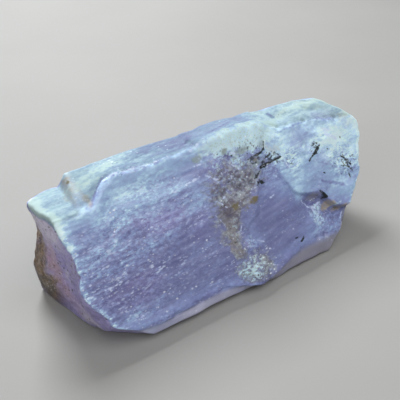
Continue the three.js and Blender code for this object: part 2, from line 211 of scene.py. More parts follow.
# Dark cracks, and the painted shade of grooves and folds, in the same form.
CRACKS_AND_SHADE = (
    ((14.0, 30.4), (24.0, 30.3), 0.04), ((24.0, 30.3), (33.0, 30.5), 0.04),
    ((17.0, 31.4), (31.0, 31.5), 0.02), ((15.2, -0.6), (12.6, 0.0), 0.22),
    ((12.8, 0.0), (11.0, 0.8), 0.36), ((57.5, 1.4), (63.2, 0.5), 0.02), ((63.2, 0.5), (70.0, -0.1), 0.02),
    ((68.4, 5.3), (72.2, 4.9), 0.1), ((70.0, -0.1), (74.8, 0.6), 0.02), ((65.6, 17.2), (67.6, 18.2), 0.2),
    ((67.6, 18.2), (71.2, 19.8), 0.34), ((59.3, -4.4), (60.1, -3.2), 0.4),
    ((59.0, 18.9), (62.8, 19.1), 0.02), ((41.0, -2.6), (50.0, -3.4), 0.02),
    ((66.2, 12.0), (71.0, 14.6), 0.02), ((33.6, -1.8), (36.0, -2.6), 0.05),
    ((42.4, 4.0), (43.0, 4.6), 0.34), ((49.0, 7.8), (50.4, 7.9), 0.2),
)
# Clouds of fine dark specks, as (x, down), reach and strength.
SPECKLE = (
    ((54.0, 8.2), (2.8, 1.7), 1.35), ((51.6, 9.4), (2.4, 1.3), 1.2), ((48.8, 12.6), (1.7, 1.0), 1.5),
    ((66.6, 8.2), (1.7, 2.0), 1.15), ((74.2, 14.2), (1.9, 3.4), 1.35), ((76.6, 13.0), (1.6, 1.6), 1.0),
    ((70.6, 13.6), (2.6, 2.0), 0.8), ((48.4, 4.8), (3.6, 2.0), 0.9), ((64.4, 20.6), (1.3, 1.0), 0.9),
    ((45.4, 11.0), (3.2, 2.4), 0.7), ((58.8, 9.4), (2.0, 1.6), 0.85), ((49.0, 7.6), (2.2, 1.0), 1.25),
    ((42.0, 3.0), (2.6, 1.0), 0.7), ((38.2, 12.6), (2.6, 2.6), 0.6), ((61.6, -3.6), (4.0, 1.4), 0.6),
    ((37.6, 19.6), (2.0, 3.6), 0.75), ((40.0, 27.4), (4.0, 3.2), 0.7), ((69.8, 9.4), (2.0, 1.4), 0.7),
)
# Rusty and olive stains, as (x, down), reach and strength.
STAINS = (
    ((45.4, 15.1), (1.5, 1.0), 1.0), ((40.7, 14.1), (1.4, 0.8), 0.95), ((43.4, 15.6), (1.6, 0.5), 0.45),
    ((64.6, 23.9), (1.5, 0.7), 0.55), ((45.6, 8.2), (0.5, 0.8), 0.5), ((49.2, 8.0), (1.3, 0.6), 0.6),
    ((42.4, 3.3), (0.8, 0.5), 0.5), ((9.1, -4.6), (0.3, 0.5), 0.9), ((67.6, 25.6), (1.8, 0.5), 0.6),
)
# Amber and pinkish brown stains, paler than the rust.
AMBER = (
    ((65.4, 23.8), (2.2, 1.2), 0.9), ((68.4, 25.8), (2.2, 0.8), 0.7), ((45.4, 15.0), (2.3, 1.5), 0.5),
    ((8.9, -5.2), (0.9, 1.2), 0.4), ((42.6, 15.4), (3.4, 1.4), 0.25),
)
# Cream areas: the chip's wall and a corner of the top.
CREAM = (
    ((9.2, -3.8), (1.5, 3.4), 0.62), ((10.2, -0.4), (1.0, 1.8), 0.75), ((77.6, -0.8), (1.8, 1.2), 0.35),
    ((43.4, 1.4), (5.0, 1.6), 0.25), ((55.0, 5.6), (2.4, 1.6), 0.4), ((62.2, 20.6), (2.6, 1.1), 0.6),
)
# Mottled grey of the scar.
MOTTLE = (
    ((43.4, 8.0), (7.8, 3.6), 0.75), ((44.6, 11.0), (4.6, 3.4), 1.0), ((41.0, 13.6), (5.6, 3.0), 1.0),
    ((38.4, 16.6), (3.2, 3.4), 1.0), ((37.6, 19.6), (2.5, 3.6), 1.0), ((38.0, 22.6), (2.1, 3.0), 0.85),
    ((40.4, 27.5), (4.9, 3.3), 1.0), ((37.8, 10.4), (3.2, 3.6), 0.8), ((46.6, 5.6), (2.6, 1.2), 0.55),
    ((52.4, 8.4), (3.0, 1.8), 0.4), ((62.2, 20.9), (2.0, 1.1), 0.35), ((43.6, 27.4), (1.6, 1.8), 0.4),
    ((35.2, 11.0), (2.2, 4.6), 0.4), ((35.4, 16.6), (1.6, 3.4), 0.45), ((48.4, 11.6), (2.6, 2.4), 0.5),
)
# Tan areas of the scar.
TAN = (
    ((37.6, 18.8), (2.7, 2.8), 0.9), ((37.6, 21.8), (2.2, 2.6), 1.0), ((40.4, 27.4), (4.4, 3.0), 0.35),
    ((46.4, 13.8), (2.2, 1.6), 0.5), ((65.0, 25.0), (3.2, 1.4), 0.4), ((50.0, 5.2), (3.0, 1.6), 0.5),
)
# Brown-mauve areas of the scar.
BROWN = (
    ((39.6, 14.0), (4.8, 2.6), 1.0), ((37.4, 9.6), (2.8, 2.6), 0.9), ((42.6, 7.6), (2.6, 1.4), 0.6),
    ((46.0, 9.0), (2.6, 1.6), 0.6), ((42.4, 16.2), (3.2, 1.5), 0.95), ((62.0, 21.4), (2.0, 0.9), 0.3),
)
# Greenish white crusts.
CRUST = (
    ((44.5, 1.5), (8.6, 2.5), 1.0), ((50.6, 2.4), (6.4, 3.6), 1.0), ((37.2, 2.0), (2.4, 1.7), 0.46),
    ((39.6, 27.2), (3.6, 2.8), 0.6), ((41.4, 22.4), (1.2, 2.0), 0.3), ((57.4, -1.6), (3.0, 1.8), 0.75),
    ((76.8, 9.6), (2.4, 4.2), 0.5), ((2.2, -0.6), (2.6, 2.2), 0.3), ((42.6, 3.8), (4.0, 1.0), 0.5),
    ((39.6, 25.6), (2.2, 1.6), 0.4), ((60.6, 25.2), (2.1, 3.4), 0.52), ((62.4, 23.0), (2.0, 0.8), 0.6),
    ((44.6, 4.6), (1.0, 0.7), 0.8), ((45.6, 6.0), (2.2, 1.3), 0.55), ((54.4, 6.0), (3.4, 2.4), 0.6),
    ((56.0, 8.8), (2.4, 2.2), 0.4), ((39.4, 5.2), (2.4, 1.2), 0.4), ((67.8, 24.0), (2.4, 0.8), 0.6),
)
# Grey-green hollows and clearer windows in the crust: their grey-green is partly clearer crystal and
# partly painted shade in the pits.
SHADED_HOLLOWS = (
    ((35.7, 2.6), (1.3, 0.9), 0.9), ((42.4, 3.4), (0.9, 0.7), 0.9), ((46.8, 4.6), (1.9, 0.8), 0.85),
    ((44.4, 5.6), (1.3, 0.6), 0.4), ((49.2, 8.4), (1.4, 0.8), 0.8), ((52.2, 4.4), (1.3, 1.9), 0.5),
    ((38.6, 4.4), (1.1, 0.7), 0.5), ((48.6, 10.6), (1.6, 1.0), 0.5), ((36.2, 8.6), (1.2, 0.9), 0.4),
)
# How granular the surface is.
GRIT = (
    ((13.0, 17.0), (13.0, 11.5), 1.0), ((29.0, 12.0), (7.0, 6.0), 0.55), ((28.0, 23.0), (8.0, 7.0), 0.34),
    ((24.0, 6.0), (7.0, 3.4), 0.5), ((41.0, 9.0), (6.5, 5.5), 1.0), ((38.4, 20.0), (3.4, 6.0), 1.0),
    ((40.4, 27.4), (5.6, 4.4), 1.0), ((48.5, 9.6), (7.5, 4.0), 1.0), ((74.0, 13.0), (5.0, 5.0), 0.8),
    ((62.4, 21.4), (2.4, 1.4), 0.7), ((24.0, -3.2), (11.0, 2.6), 0.3), ((21.0, 0.1), (8.5, 0.7), 0.9),
    ((64.0, 28.4), (5.4, 4.4), 0.9), ((48.0, 3.0), (9.0, 1.6), 0.4), ((69.0, 7.0), (8.0, 6.0), 0.12),
    ((60.8, 24.6), (2.4, 3.0), 1.0), ((58.6, 9.0), (3.4, 3.0), 0.8), ((62.0, -3.6), (6.0, 1.6), 0.1),
)
# Mauve-grey areas of the clear faces.
MAUVE = (
    ((23.0, 12.0), (6.0, 2.6), 0.85), ((13.0, 22.5), (6.5, 3.4), 0.7), ((40.0, 6.5), (4.6, 3.4), 0.65),
    ((34.0, -4.0), (4.5, 2.0), 0.3), ((46.0, 30.6), (6.0, 1.4), 0.4), ((26.0, 32.5), (14.0, 1.2), 0.6),
    ((44.0, 11.5), (4.0, 3.0), 0.7), ((62.6, 5.2), (4.0, 3.6), 0.65), ((5.0, 24.0), (2.0, 4.0), 0.4),
    ((31.0, 16.0), (4.0, 3.0), 0.5), ((72.6, -1.4), (3.4, 1.8), 1.0), ((68.0, 12.0), (3.0, 2.0), 0.7),
    ((69.4, 19.4), (3.0, 2.0), 0.2), ((78.6, 2.0), (2.0, 2.0), 0.7), ((44.0, -3.6), (5.0, 1.6), 0.5),
)
# How milky the faces are, by distance down from the ridge: left and right of the scar. The high values
# near the ridge are partly frost and partly painted sheen, so the face is painted paler towards its top.
FROST_SHEEN_LEFT = ((-7, 0.79), (-3, 0.83), (-0.6, 0.8), (0.2, 0.87), (3, 0.86), (6, 0.72), (9, 0.52), (12, 0.46),
             (16, 0.36), (20, 0.28), (26, 0.26), (29, 0.36), (33, 0.45))
FROST_SHEEN_MIDDLE = ((-7, 0.62), (-0.6, 0.67), (0.4, 0.72), (4, 0.62), (9, 0.5), (13, 0.38), (18, 0.28),
               (25, 0.25), (29, 0.38), (33, 0.45))
FROST_SHEEN_BLOCK = ((-7, 0.92), (-1, 0.92), (1, 0.88), (7, 0.9), (12, 0.86), (16, 0.7), (20, 0.56), (24, 0.55),
              (27, 0.44), (33, 0.4))
# Patches that make the faces more or less milky. The one at (21.0, 5.6) is a painted sheen on the upper
# face.
FROST_SHEEN_PATCHES = (
    ((0.8, -2.5), (1.6, 3.0), 0.16), ((12.0, -3.0), (2.6, 2.2), 0.1), ((21.0, 5.6), (4.5, 2.2), 0.14),
    ((7.8, 6.4), (2.4, 3.4), -0.28), ((6.8, 14.5), (2.4, 2.4), 0.14), ((8.0, 2.0), (2.0, 1.6), 0.14),
    ((12.4, 4.0), (2.6, 1.6), -0.1), ((11.0, 26.8), (4.6, 3.0), 0.26), ((20.0, 1.6), (7.0, 1.8), -0.2),
    ((5.0, 9.0), (2.0, 3.0), -0.06), ((60.0, 13.0), (1.8, 5.0), 0.05), ((32.0, -3.5), (6.0, 3.0), -0.12),
    ((15.0, 16.6), (6.0, 1.6), 0.14), ((56.0, 12.4), (2.6, 2.4), -0.1), ((64.0, 13.6), (3.2, 2.6), -0.14),
    ((69.8, 18.8), (3.2, 1.6), 0.2), ((71.6, 4.0), (3.4, 1.8), 0.16), ((72.0, 21.8), (2.8, 1.8), 0.18),
    ((57.6, 4.0), (2.4, 3.4), 0.08), ((64.0, 28.4), (3.6, 2.8), 0.1), ((42.4, 21.6), (2.4, 3.2), 0.16),
    ((15.0, 10.0), (3.5, 1.4), 0.2), ((54.0, 15.6), (3.4, 3.6), 0.24), ((34.6, 5.0), (2.6, 2.4), -0.16),
    ((52.0, 24.0), (3.4, 3.0), 0.04), ((32.0, 11.0), (3.4, 2.0), 0.14), ((28.0, 5.4), (3.4, 2.0), 0.08),
    ((64.0, 4.0), (4.2, 3.0), -0.2), ((72.0, -1.0), (3.0, 1.4), -0.16), ((57.4, 27.4), (3.0, 2.6), 0.14),
    ((58.0, 19.0), (1.8, 2.2), 0.2), ((42.0, -4.0), (3.0, 1.6), 0.1), ((33.0, 0.0), (3.0, 1.0), 0.12),
    # Painted reflection: the patch at (72.4, 5.6) brightens the frosted block.
    ((57.6, 18.6), (2.0, 2.4), 0.14), ((72.4, 5.6), (2.6, 2.6), 0.24), ((68.0, 11.4), (2.0, 1.6), -0.12),
    ((60.6, 26.6), (2.0, 3.6), 0.16), ((12.6, 1.0), (2.6, 1.2), -0.12), ((47.0, 21.0), (3.0, 2.6), -0.04),
)
# Areas of the left end, in its own (y, z): olive-brown, pink, pale grey and darkest at the bottom.
END_OLIVE = (((-0.4, 11.6), (4.2, 8.6), 1.0), ((-2.4, 4.0), (4.6, 5.0), 1.0))
END_PINK = (((-5.8, 12.5), (2.0, 7.5), 0.8), ((-6.8, 5.4), (3.4, 3.0), 0.7),
            ((-12.0, 4.0), (3.0, 2.4), 0.3))
END_GREY = (((-4.8, 21.8), (7.0, 4.6), 1.0), ((-9.4, 10.4), (0.7, 1.8), 0.7),
            ((-16.0, 2.8), (3.4, 2.2), 0.9), ((2.8, 9.0), (0.8, 7.0), 0.4),
            ((-12.4, 16.0), (2.0, 3.0), 0.12))
END_DARK = (((-2.6, 2.6), (5.4, 4.0), 1.0), ((0.4, 8.8), (2.6, 3.6), 0.65), ((-8.0, 1.4), (3.0, 1.6), 0.4))


# ---- small helpers -------------------------------------------------------------------------------
def mix(a, b, t):
    """a where t is 0 and b where t is 1, straight between."""
    return a + (b - a) * t


def ramp(a, b, t):
    """0 before a, 1 after b, and the smooth step 3k^2 - 2k^3 between them."""
    k = np.clip((t - a) / (b - a), 0, 1)
    return k * k * (3 - 2 * k)


def band(limits, soft, t):
    """1 between the limits, fading to 0 over `soft` on both sides."""
    return ramp(limits[0] - soft, limits[0] + soft, t) * (1 - ramp(limits[1] - soft, limits[1] + soft, t))


def soft_min(a, b, width):
    """The lower of two heights, rounded over by a parabola of that width where they meet."""
    t = np.clip(0.5 + 0.5 * (b - a) / width, 0, 1)
    return mix(b, a, t) - width * t * (1 - t)


def mound(spot, a, b):
    """A Gaussian hill at a spot of (place, reach, height)."""
    (p, q), (reach_p, reach_q), height = spot
    return height * np.exp(-(((a - p) / reach_p) ** 2) - ((b - q) / reach_q) ** 2)


def pools(spots, a, b):
    """The strongest of several flat-topped spots at each point: each falls off as exp(-r^4)."""
    return np.maximum.reduce([height * np.exp(-(((a - p) / reach_p) ** 2 + ((b - q) / reach_q) ** 2) ** 2)
                              for (p, q), (reach_p, reach_q), height in spots])


def along(keys, x, column=1):
    """Cubic curve through keys of (x, value, ...): at each key its slope is that of the line from the
    key before to the key after, and outside the keys it stays level."""
    table = np.asarray(keys, float)
    at, value = table[:, 0], table[:, column]
    count = len(at)
    before = np.maximum(np.arange(count) - 1, 0)
    after = np.minimum(np.arange(count) + 1, count - 1)
    slope = (value[after] - value[before]) / (at[after] - at[before])
    i = np.clip(np.searchsorted(at, x, side="right") - 1, 0, count - 2)
    step = at[i + 1] - at[i]
    t = np.clip((x - at[i]) / step, 0, 1)
    bend = slope[i] * t * (1 - t) ** 2 + slope[i + 1] * t * t * (t - 1)
    return mix(value[i], value[i + 1], ramp(0, 1, t)) + step * bend


def cell(i, j, seed):
    """Repeatable value from -1 to 1 for whole-numbered cells, by an integer hash."""
    i, j = (np.asarray(k).astype(np.int64).astype(np.uint32) for k in (i, j))
    h = i * np.uint32(374761393) + j * np.uint32(668265263)
    h = h + np.uint32((seed * 974634777) % 2**32)
    h = (h ^ (h >> np.uint32(13))) * np.uint32(1274126177)
    return (h ^ (h >> np.uint32(16))).astype(float) / 2147483647.5 - 1


def lumps(a, b, seed):
    """Value noise from -1 to 1: hashed cells of size one, blended by smooth steps."""
    a, b = np.broadcast_arrays(np.asarray(a, float), np.asarray(b, float))
    i, j = np.floor(a), np.floor(b)
    p, q = ramp(0, 1, a - i), ramp(0, 1, b - j)
    low = mix(cell(i, j, seed), cell(i + 1, j, seed), p)
    high = mix(cell(i, j + 1, seed), cell(i + 1, j + 1, seed), p)
    return mix(low, high, q)


def fold(t):
    """Triangle wave, 0 at whole numbers and 1 half way between them, which folds a face into facets."""
    return 2 * np.abs(t - np.floor(t + 0.5))


def drift(a, b, reach, seed):
    """Places moved about by lumps of two sizes, so that a soft zone's outline turns ragged."""
    move = [reach * (lumps(a / 2.6, b / 2.6, seed + k) + 0.6 * lumps(a / 0.9, b / 0.9, seed + 5 + k))
            for k in (0, 1)]
    return a + move[0], b + move[1]


# ---- skin ----------------------------------------------------------------------------------------
def edge_places(x):
    """(y, z) of every section edge at stations x, with the first edge repeated at the end."""
    places = np.array([[at[c] + along(wander, x, c + 1) for c in (0, 1)] for at, wander in EDGES])
    return np.concatenate([places, places[:1]])


def outline(s, places):
    """Straight-sided section: the point at distance s round it, on the line between two edges."""
    around = np.mod(s, GIRTH)
    i = np.clip(np.searchsorted(MARKS, around, side="right") - 1, 0, len(EDGES) - 1)
    t = (around - MARKS[i]) / (MARKS[i + 1] - MARKS[i])
    pick = np.arange(around.size).reshape(around.shape)
    flat = places.reshape(len(places), 2, -1)
    a, b = (flat[i + k, :, pick] for k in (0, 1))
    return np.moveaxis(mix(a, b, t[..., None]), -1, 0)


def ceiling(x, y):
    """Height that the chip leaves standing: a dished shelf and a smooth wall at its right."""
    rise = ramp(*SHELF_WALL, x)
    return SHELF + 0.2 * lumps(x / 3, y / 3, 5) + (TOP + 2 - SHELF) * rise


def section(s, x, places):
    """Outline averaged over a short window, which rounds its edges, cut down to the chip's ceiling."""
    y, z = sum(outline(s + k * EDGE_ROUND, places) for k in (-1, -0.5, 0, 0.5, 1)) / 5
    return y, soft_min(z, ceiling(x, y), SHELF_ROUND)


def in_scar(x, down):
    """1 inside the scar's left and right limits, with soft edges."""
    left = ramp(-0.6, 0.8, x - along(SCAR_LEFT, down))
    return left * (1 - ramp(-0.8, 1.2, x - along(SCAR_RIGHT, down)))


def solid_relief(s, x, shape):
    """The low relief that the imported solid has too: hollow, grooves, scar, frosted block, pit, lip and
    top strip in front, lumps under the front edge, and splinters on the back. With a shape, the scar's
    outline is ragged and the lip a little lower, to leave room for the crust's grain."""
    down = s - RIDGE_MARK
    edge = (x, down) if shape is None else drift(x, down, 0.5, 91)
    scar = in_scar(*edge) * (SCAR_HEIGHT + SCAR_LUMPS * lumps(x / 2.8, down / 2.8, 11))
    below = down - along(RIM, x)
    step = -along(RIM_STEP, x) * ramp(-0.1, 1.1, below) * (1 - 0.75 * ramp(2, 9, below))
    swell = SWELL_HEIGHT * lumps(x / 5, down / 5, 21) * ramp(*SWELL_X, x)
    block = (step + swell + mound(PIT, x, down)) * ramp(1, 4, down)
    hollow = -HOLLOW_DEPTH * band(HOLLOW_DOWN, 1.5, down) * band(HOLLOW_X, 3, x)
    grooves = 0.1 * lumps(x / 18, down / 3, 31)
    face = (hollow + grooves) * band((0.5, FACE - 0.8), 0.8, down) + scar + block
    crest = LIP_HEIGHT * band(LIP_X, 2.2, x) * np.exp(-((down / LIP_REACH) ** 2))
    crest = crest if shape is None else 0.6 * crest
    lip = crest * (1 + 0.5 * lumps(x / 2.2, 0, 41))
    strip = 0.1 * lumps(x / 12, down / 1.5, 62) * (1 - ramp(-1, 0, down))
    undercut = 0.25 * lumps(x / 4, s / 2, 61) * (1 - ramp(FRONT_MARK, TOE_MARK, s))
    up = s - HEEL_MARK
    splinters = SPLINTER_HEIGHT * lumps(x / 13, up / 3.2, 51) * band((2, GIRTH - HEEL_MARK - 2), 1.5, up)
    return np.where(s > HEEL_MARK, splinters, np.where(s > FRONT_MARK, undercut, face + lip + strip))


def fine_relief(s, x, shape):
    """Relief too fine for the solid: striations along the crystal in three widths, grains and pits in
    the scar and the frosted block, nicks along the worn edges, and the groove beside the chip."""
    down = s - RIDGE_MARK
    scar = in_scar(x, down)
    on_base = band((TOE_MARK, HEEL_MARK), 0.4, s)
    striae = 0.3 * lumps(x / 9, s / 0.42, 101) + 0.4 * lumps(x / 15, s / 0.95, 102)
    striae = shape.striation / MM * (striae + 0.4 * lumps(x / 2.2, s / 0.6, 103) - 0.4)
    grain = 0.55 * lumps(x / 0.8, down / 0.8, 111) + 0.45 * lumps(x / 0.42, down / 0.42, 112) - 0.45
    grain = shape.grain / MM * grain * (0.15 + 0.85 * pools(GRIT, x, down))
    frosted = ramp(*FACET_X, x) * ramp(1.2, -1.2, down - along(RIM, x))
    fx, fd = drift(x, down, 0.3, 124)
    facets = 0.46 * fold((fx + 0.5 * fd) / 13 + 0.25) + 0.34 * fold((fx - 1.5 * fd) / 9.5 + 0.6)
    facets = -shape.facet / MM * (facets + 0.2 * fold((0.5 * fx + fd) / 5.2 + 0.1))
    pits = -shape.pit / MM * ramp(0.55, 0.95, lumps(x / 1.7, s / 1.2, 122))
    etched = facets + pits + 0.06 * lumps(x / 0.9, s / 0.7, 121) - 0.06
    edge = np.minimum(np.abs(down), np.abs(s - FRONT_MARK))
    nicks = -shape.nick / MM * ramp(0.1, 0.8, lumps(x / 1.3, 0, 131)) * np.exp(-((edge / 0.7) ** 2))
    groove = -shape.groove / MM * np.exp(-((distance_to(GROOVE, x, down) / 1.2) ** 2))
    faces = striae * (1 - scar) * (1 - 0.6 * frosted) + grain * scar + etched * frosted
    faces = faces + nicks + groove
    back = striae * 1.6 + 0.1 * lumps(x / 3, s / 0.9, 141) - 0.08
    return np.where(s > HEEL_MARK, back, faces) * (1 - on_base)


def skin(s, x, shape):
    """Section moved out along its own normal by the relief, never below the flat base."""
    places = edge_places(x)
    y, z = section(s, x, places)
    before, after = (np.array(section(s + step, x, places)) for step in (-0.3, 0.3))
    run = after - before
    out = solid_relief(s, x, shape)
    if shape is not None:
        out = out + fine_relief(s, x, shape)
    out = out / np.hypot(*run)
    return y + run[1] * out, np.maximum(z - run[0] * out, 0)


# ---- broken ends ---------------------------------------------------------------------------------
def left_end(y, z, shape):
    """Oblique plane with a blunted lower front corner, a bulge, two hollows and hackle."""
    corner = LEFT_CORNER_SLOPE * np.maximum(0, -y - z - LEFT_CORNER)
    forms = sum(mound(spot, y, z) for spot in (LEFT_BULGE, LEFT_SHELL, LEFT_NOTCH))
    reach = LEFT_SLOPE * y + corner + forms
    reach = reach + 0.3 * lumps((y + 0.5 * z) / 3.6, z / 5, 71)
    if shape is None:
        return reach
    hackle = 0.6 * lumps((y + 0.4 * z) / 1.1, z / 2.4, 72) + 0.4 * lumps(y / 0.6, z / 0.7, 73)
    return reach + shape.hackle / MM * (hackle + ramp(0.5, 0.95, lumps(y / 0.9, z / 1.3, 74)))


def right_end(y, z, shape):
    """Four planes that meet in a blunt roof, the lowest at each point, with hackle."""
    reach = None
    for x, dy, dz in RIGHT_BREAKS:
        plane = x + dy * y + dz * z
        reach = plane if reach is None else soft_min(reach, plane, RIGHT_ROUND)
    reach = reach + 0.4 * lumps(y / 3.6, z / 3.6, 81)
    if shape is None:
        return reach
    hackle = 0.7 * lumps(y / 1.3, z / 1.5, 82) + 0.3 * lumps(y / 0.6, z / 0.6, 83)
    return reach + shape.hackle / MM * hackle


# ---- grid ----------------------------------------------------------------------------------------
def follow_rim(s, x):
    """Bends the rows on the sloping face so that one of them runs along the frosted block's rim."""
    down = s - RIDGE_MARK
    rim = mix(RIM_ROW, along(RIM, x), ramp(*BENT_X, x))
    above = down * rim / RIM_ROW
    under = mix(rim, FACE, (down - RIM_ROW) / (FACE - RIM_ROW))
    bent = RIDGE_MARK + np.where(down < RIM_ROW, above, under)
    return np.where((down > 0) & (down < FACE), bent, s)


def meet(s, end, guess, shape):
    """Station at which each row meets a broken end, closing half the gap at each step."""
    x = np.full(s.shape, float(guess))
    for _ in range(MEET_STEPS):
        x = mix(x, end(*skin(follow_rim(s, x), x, shape), shape), 0.5)
    return x


def ring_marks(side_steps):
    """Distances round the section of one ring's points, evenly spaced on each side."""
    sides = zip(MARKS[:-1], MARKS[1:], side_steps)
    return np.concatenate([np.linspace(a, b, steps, endpoint=False) for a, b, steps in sides])


def stations(count, left, right):
    """Station of every point: even steps along the crystal, slanted like the ends near them."""
    a = np.linspace(0, 1, count + 1)[:, None]
    near_left = np.clip(1 - a / SLANT[0], 0, 1) ** 2
    near_right = np.clip(1 - (1 - a) / SLANT[1], 0, 1) ** 2
    return mix(*UPRIGHT, a) + (left - UPRIGHT[0]) * near_left + (right - UPRIGHT[1]) * near_right


def cap(rim, end, centre, rings, shape):
    """Rings between a rim and the middle of its end: y and z shrink evenly, and x is the end's own."""
    r = 1 - np.arange(1, rings)[:, None] / rings
    y, z = (mix(centre[c], rim[..., c + 1][None], r) for c in (0, 1))
    return np.stack([end(y, z, shape), y, z], axis=-1)


def wear_rims(rings, at, passes):
    """Rounds the broken rims: points near ring `at` move half way to the mean of their neighbours on
    the rings beside them, once a pass, less the further they are from the rim."""
    index = np.arange(1, len(rings) - 1)
    share = 0.5 * np.clip(1 - np.abs(index - at) / RIM_WEAR_RINGS, 0, 1)[:, None, None]
    for _ in range(passes):
        mean = 0.5 * (rings[:-2] + rings[2:])
        rings[1:-1] = mix(rings[1:-1], mean, share)
    return rings


def crystal_rings(side_steps, station_count, cap_rings, shape):
    """All rings from the left end's middle to the right end's, as points, with each point's distance
    round the section and the ring numbers of the two rims."""
    marks = ring_marks(side_steps)
    left = meet(marks, left_end, UPRIGHT[0], shape)
    right = meet(marks, right_end, UPRIGHT[1], shape)
    x = stations(station_count, left, right)
    s = follow_rim(np.broadcast_to(marks, x.shape), x)
    body = np.stack([x, *skin(s, x, shape)], axis=-1)
    left_cap = cap(body[0], left_end, END_CENTRES[0], cap_rings, shape)[::-1]
    right_cap = cap(body[-1], right_end, END_CENTRES[1], cap_rings, shape)
    rings = np.concatenate([left_cap, body, right_cap])
    around = np.concatenate([np.repeat(s[:1], cap_rings - 1, 0), s, np.repeat(s[-1:], cap_rings - 1, 0)])
    return rings, around, (cap_rings - 1, cap_rings - 1 + station_count)


def poles(shape):
    """The middle points of the two ends."""
    ends = zip((left_end, right_end), np.array(END_CENTRES, float)[..., None])
    return np.array([np.concatenate([end(y, z, shape), y, z]) for end, (y, z) in ends])


def solid_corner():
    """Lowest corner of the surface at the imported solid's own density, in crystal coordinates."""
    rings, _, _ = crystal_rings(SOLID_STEPS, SOLID_STATIONS, SOLID_CAP_RINGS, None)
    return np.concatenate([rings.reshape(-1, 3), poles(None)]).min(axis=0)


def frame_offset():
    """What to add to crystal coordinates, in metres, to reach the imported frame."""
    low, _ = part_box(NODE)
    return np.array(low) - solid_corner() * MM


# ---- zones ---------------------------------------------------------------------------------------
def distance_to(mark, x, down):
    """Distance from a straight mark's middle line, less its half width."""
    (ax, ad), (bx, bd), half_width = mark
    run = np.array([bx - ax, bd - ad])
    t = np.clip(((x - ax) * run[0] + (down - ad) * run[1]) / run.dot(run), 0, 1)
    return np.hypot(x - ax - t * run[0], down - ad - t * run[1]) - half_width


def nearest(marks, x, down):
    """Distance from the nearest of several straight marks."""
    return np.minimum.reduce([distance_to(mark, x, down) for mark in marks])


def frost_and_sheen_levels(x, down, back):
    """How milky the long faces are, partly frost and partly painted sheen near the ridge: three profiles
    over the distance down, blended along the crystal, with patches, and a profile of its own for the back."""
    rim = ramp(2.4, -1.8, down - along(RIM, x))
    blocky = ramp(*MILKY_X, x + 1.5 * lumps(x / 3, down / 3, 201)) * rim
    milk = mix(along(FROST_SHEEN_LEFT, down), along(FROST_SHEEN_MIDDLE, down), ramp(20, 32, x))
    milk = mix(milk, along(FROST_SHEEN_BLOCK, down), blocky)
    milk = milk + sum(mound(patch, x, down) for patch in FROST_SHEEN_PATCHES)
    behind = 0.42 + 0.25 * ramp(30, 75, x) + 0.2 * lumps(x / 11, down / 3.4, 202)
    return mix(milk, behind, back)


def left_cover(row, y, z, rim):
    """1 on the left end and 0 on the long faces: a smooth step over a few rings before the rim, moved
    inwards at the top, where the frost wraps over the edge, and outwards at the stained back."""
    inset = mix(-BACK_OUTSET * ramp(-8, -4, y), TIP_INSET, ramp(17, 22, z))
    return 1 - ramp(rim - COVER_RINGS - inset, rim - inset, row)


def edge_wear_and_highlight(row, down, rims, left_cap):
    """How worn the broken rims are, with a painted highlight along them: a bell curve over the rings
    beside each, none below the front.
    """
    on_face = 1 - ramp(FACE - 3, FACE + 1, down)
    past_left = row - rims[0]
    reach = np.where(past_left > 0, FACE_WEAR_AND_HIGHLIGHT, END_WEAR_AND_HIGHLIGHT)
    left = np.exp(-((past_left / reach) ** 2)) * on_face * (1 - left_cap)
    right = RIGHT_WEAR_AND_HIGHLIGHT_SHARE * np.exp(-(((row - rims[1]) / RIGHT_WEAR_AND_HIGHLIGHT) ** 2)) * on_face
    return np.clip(left + right, 0, 1)


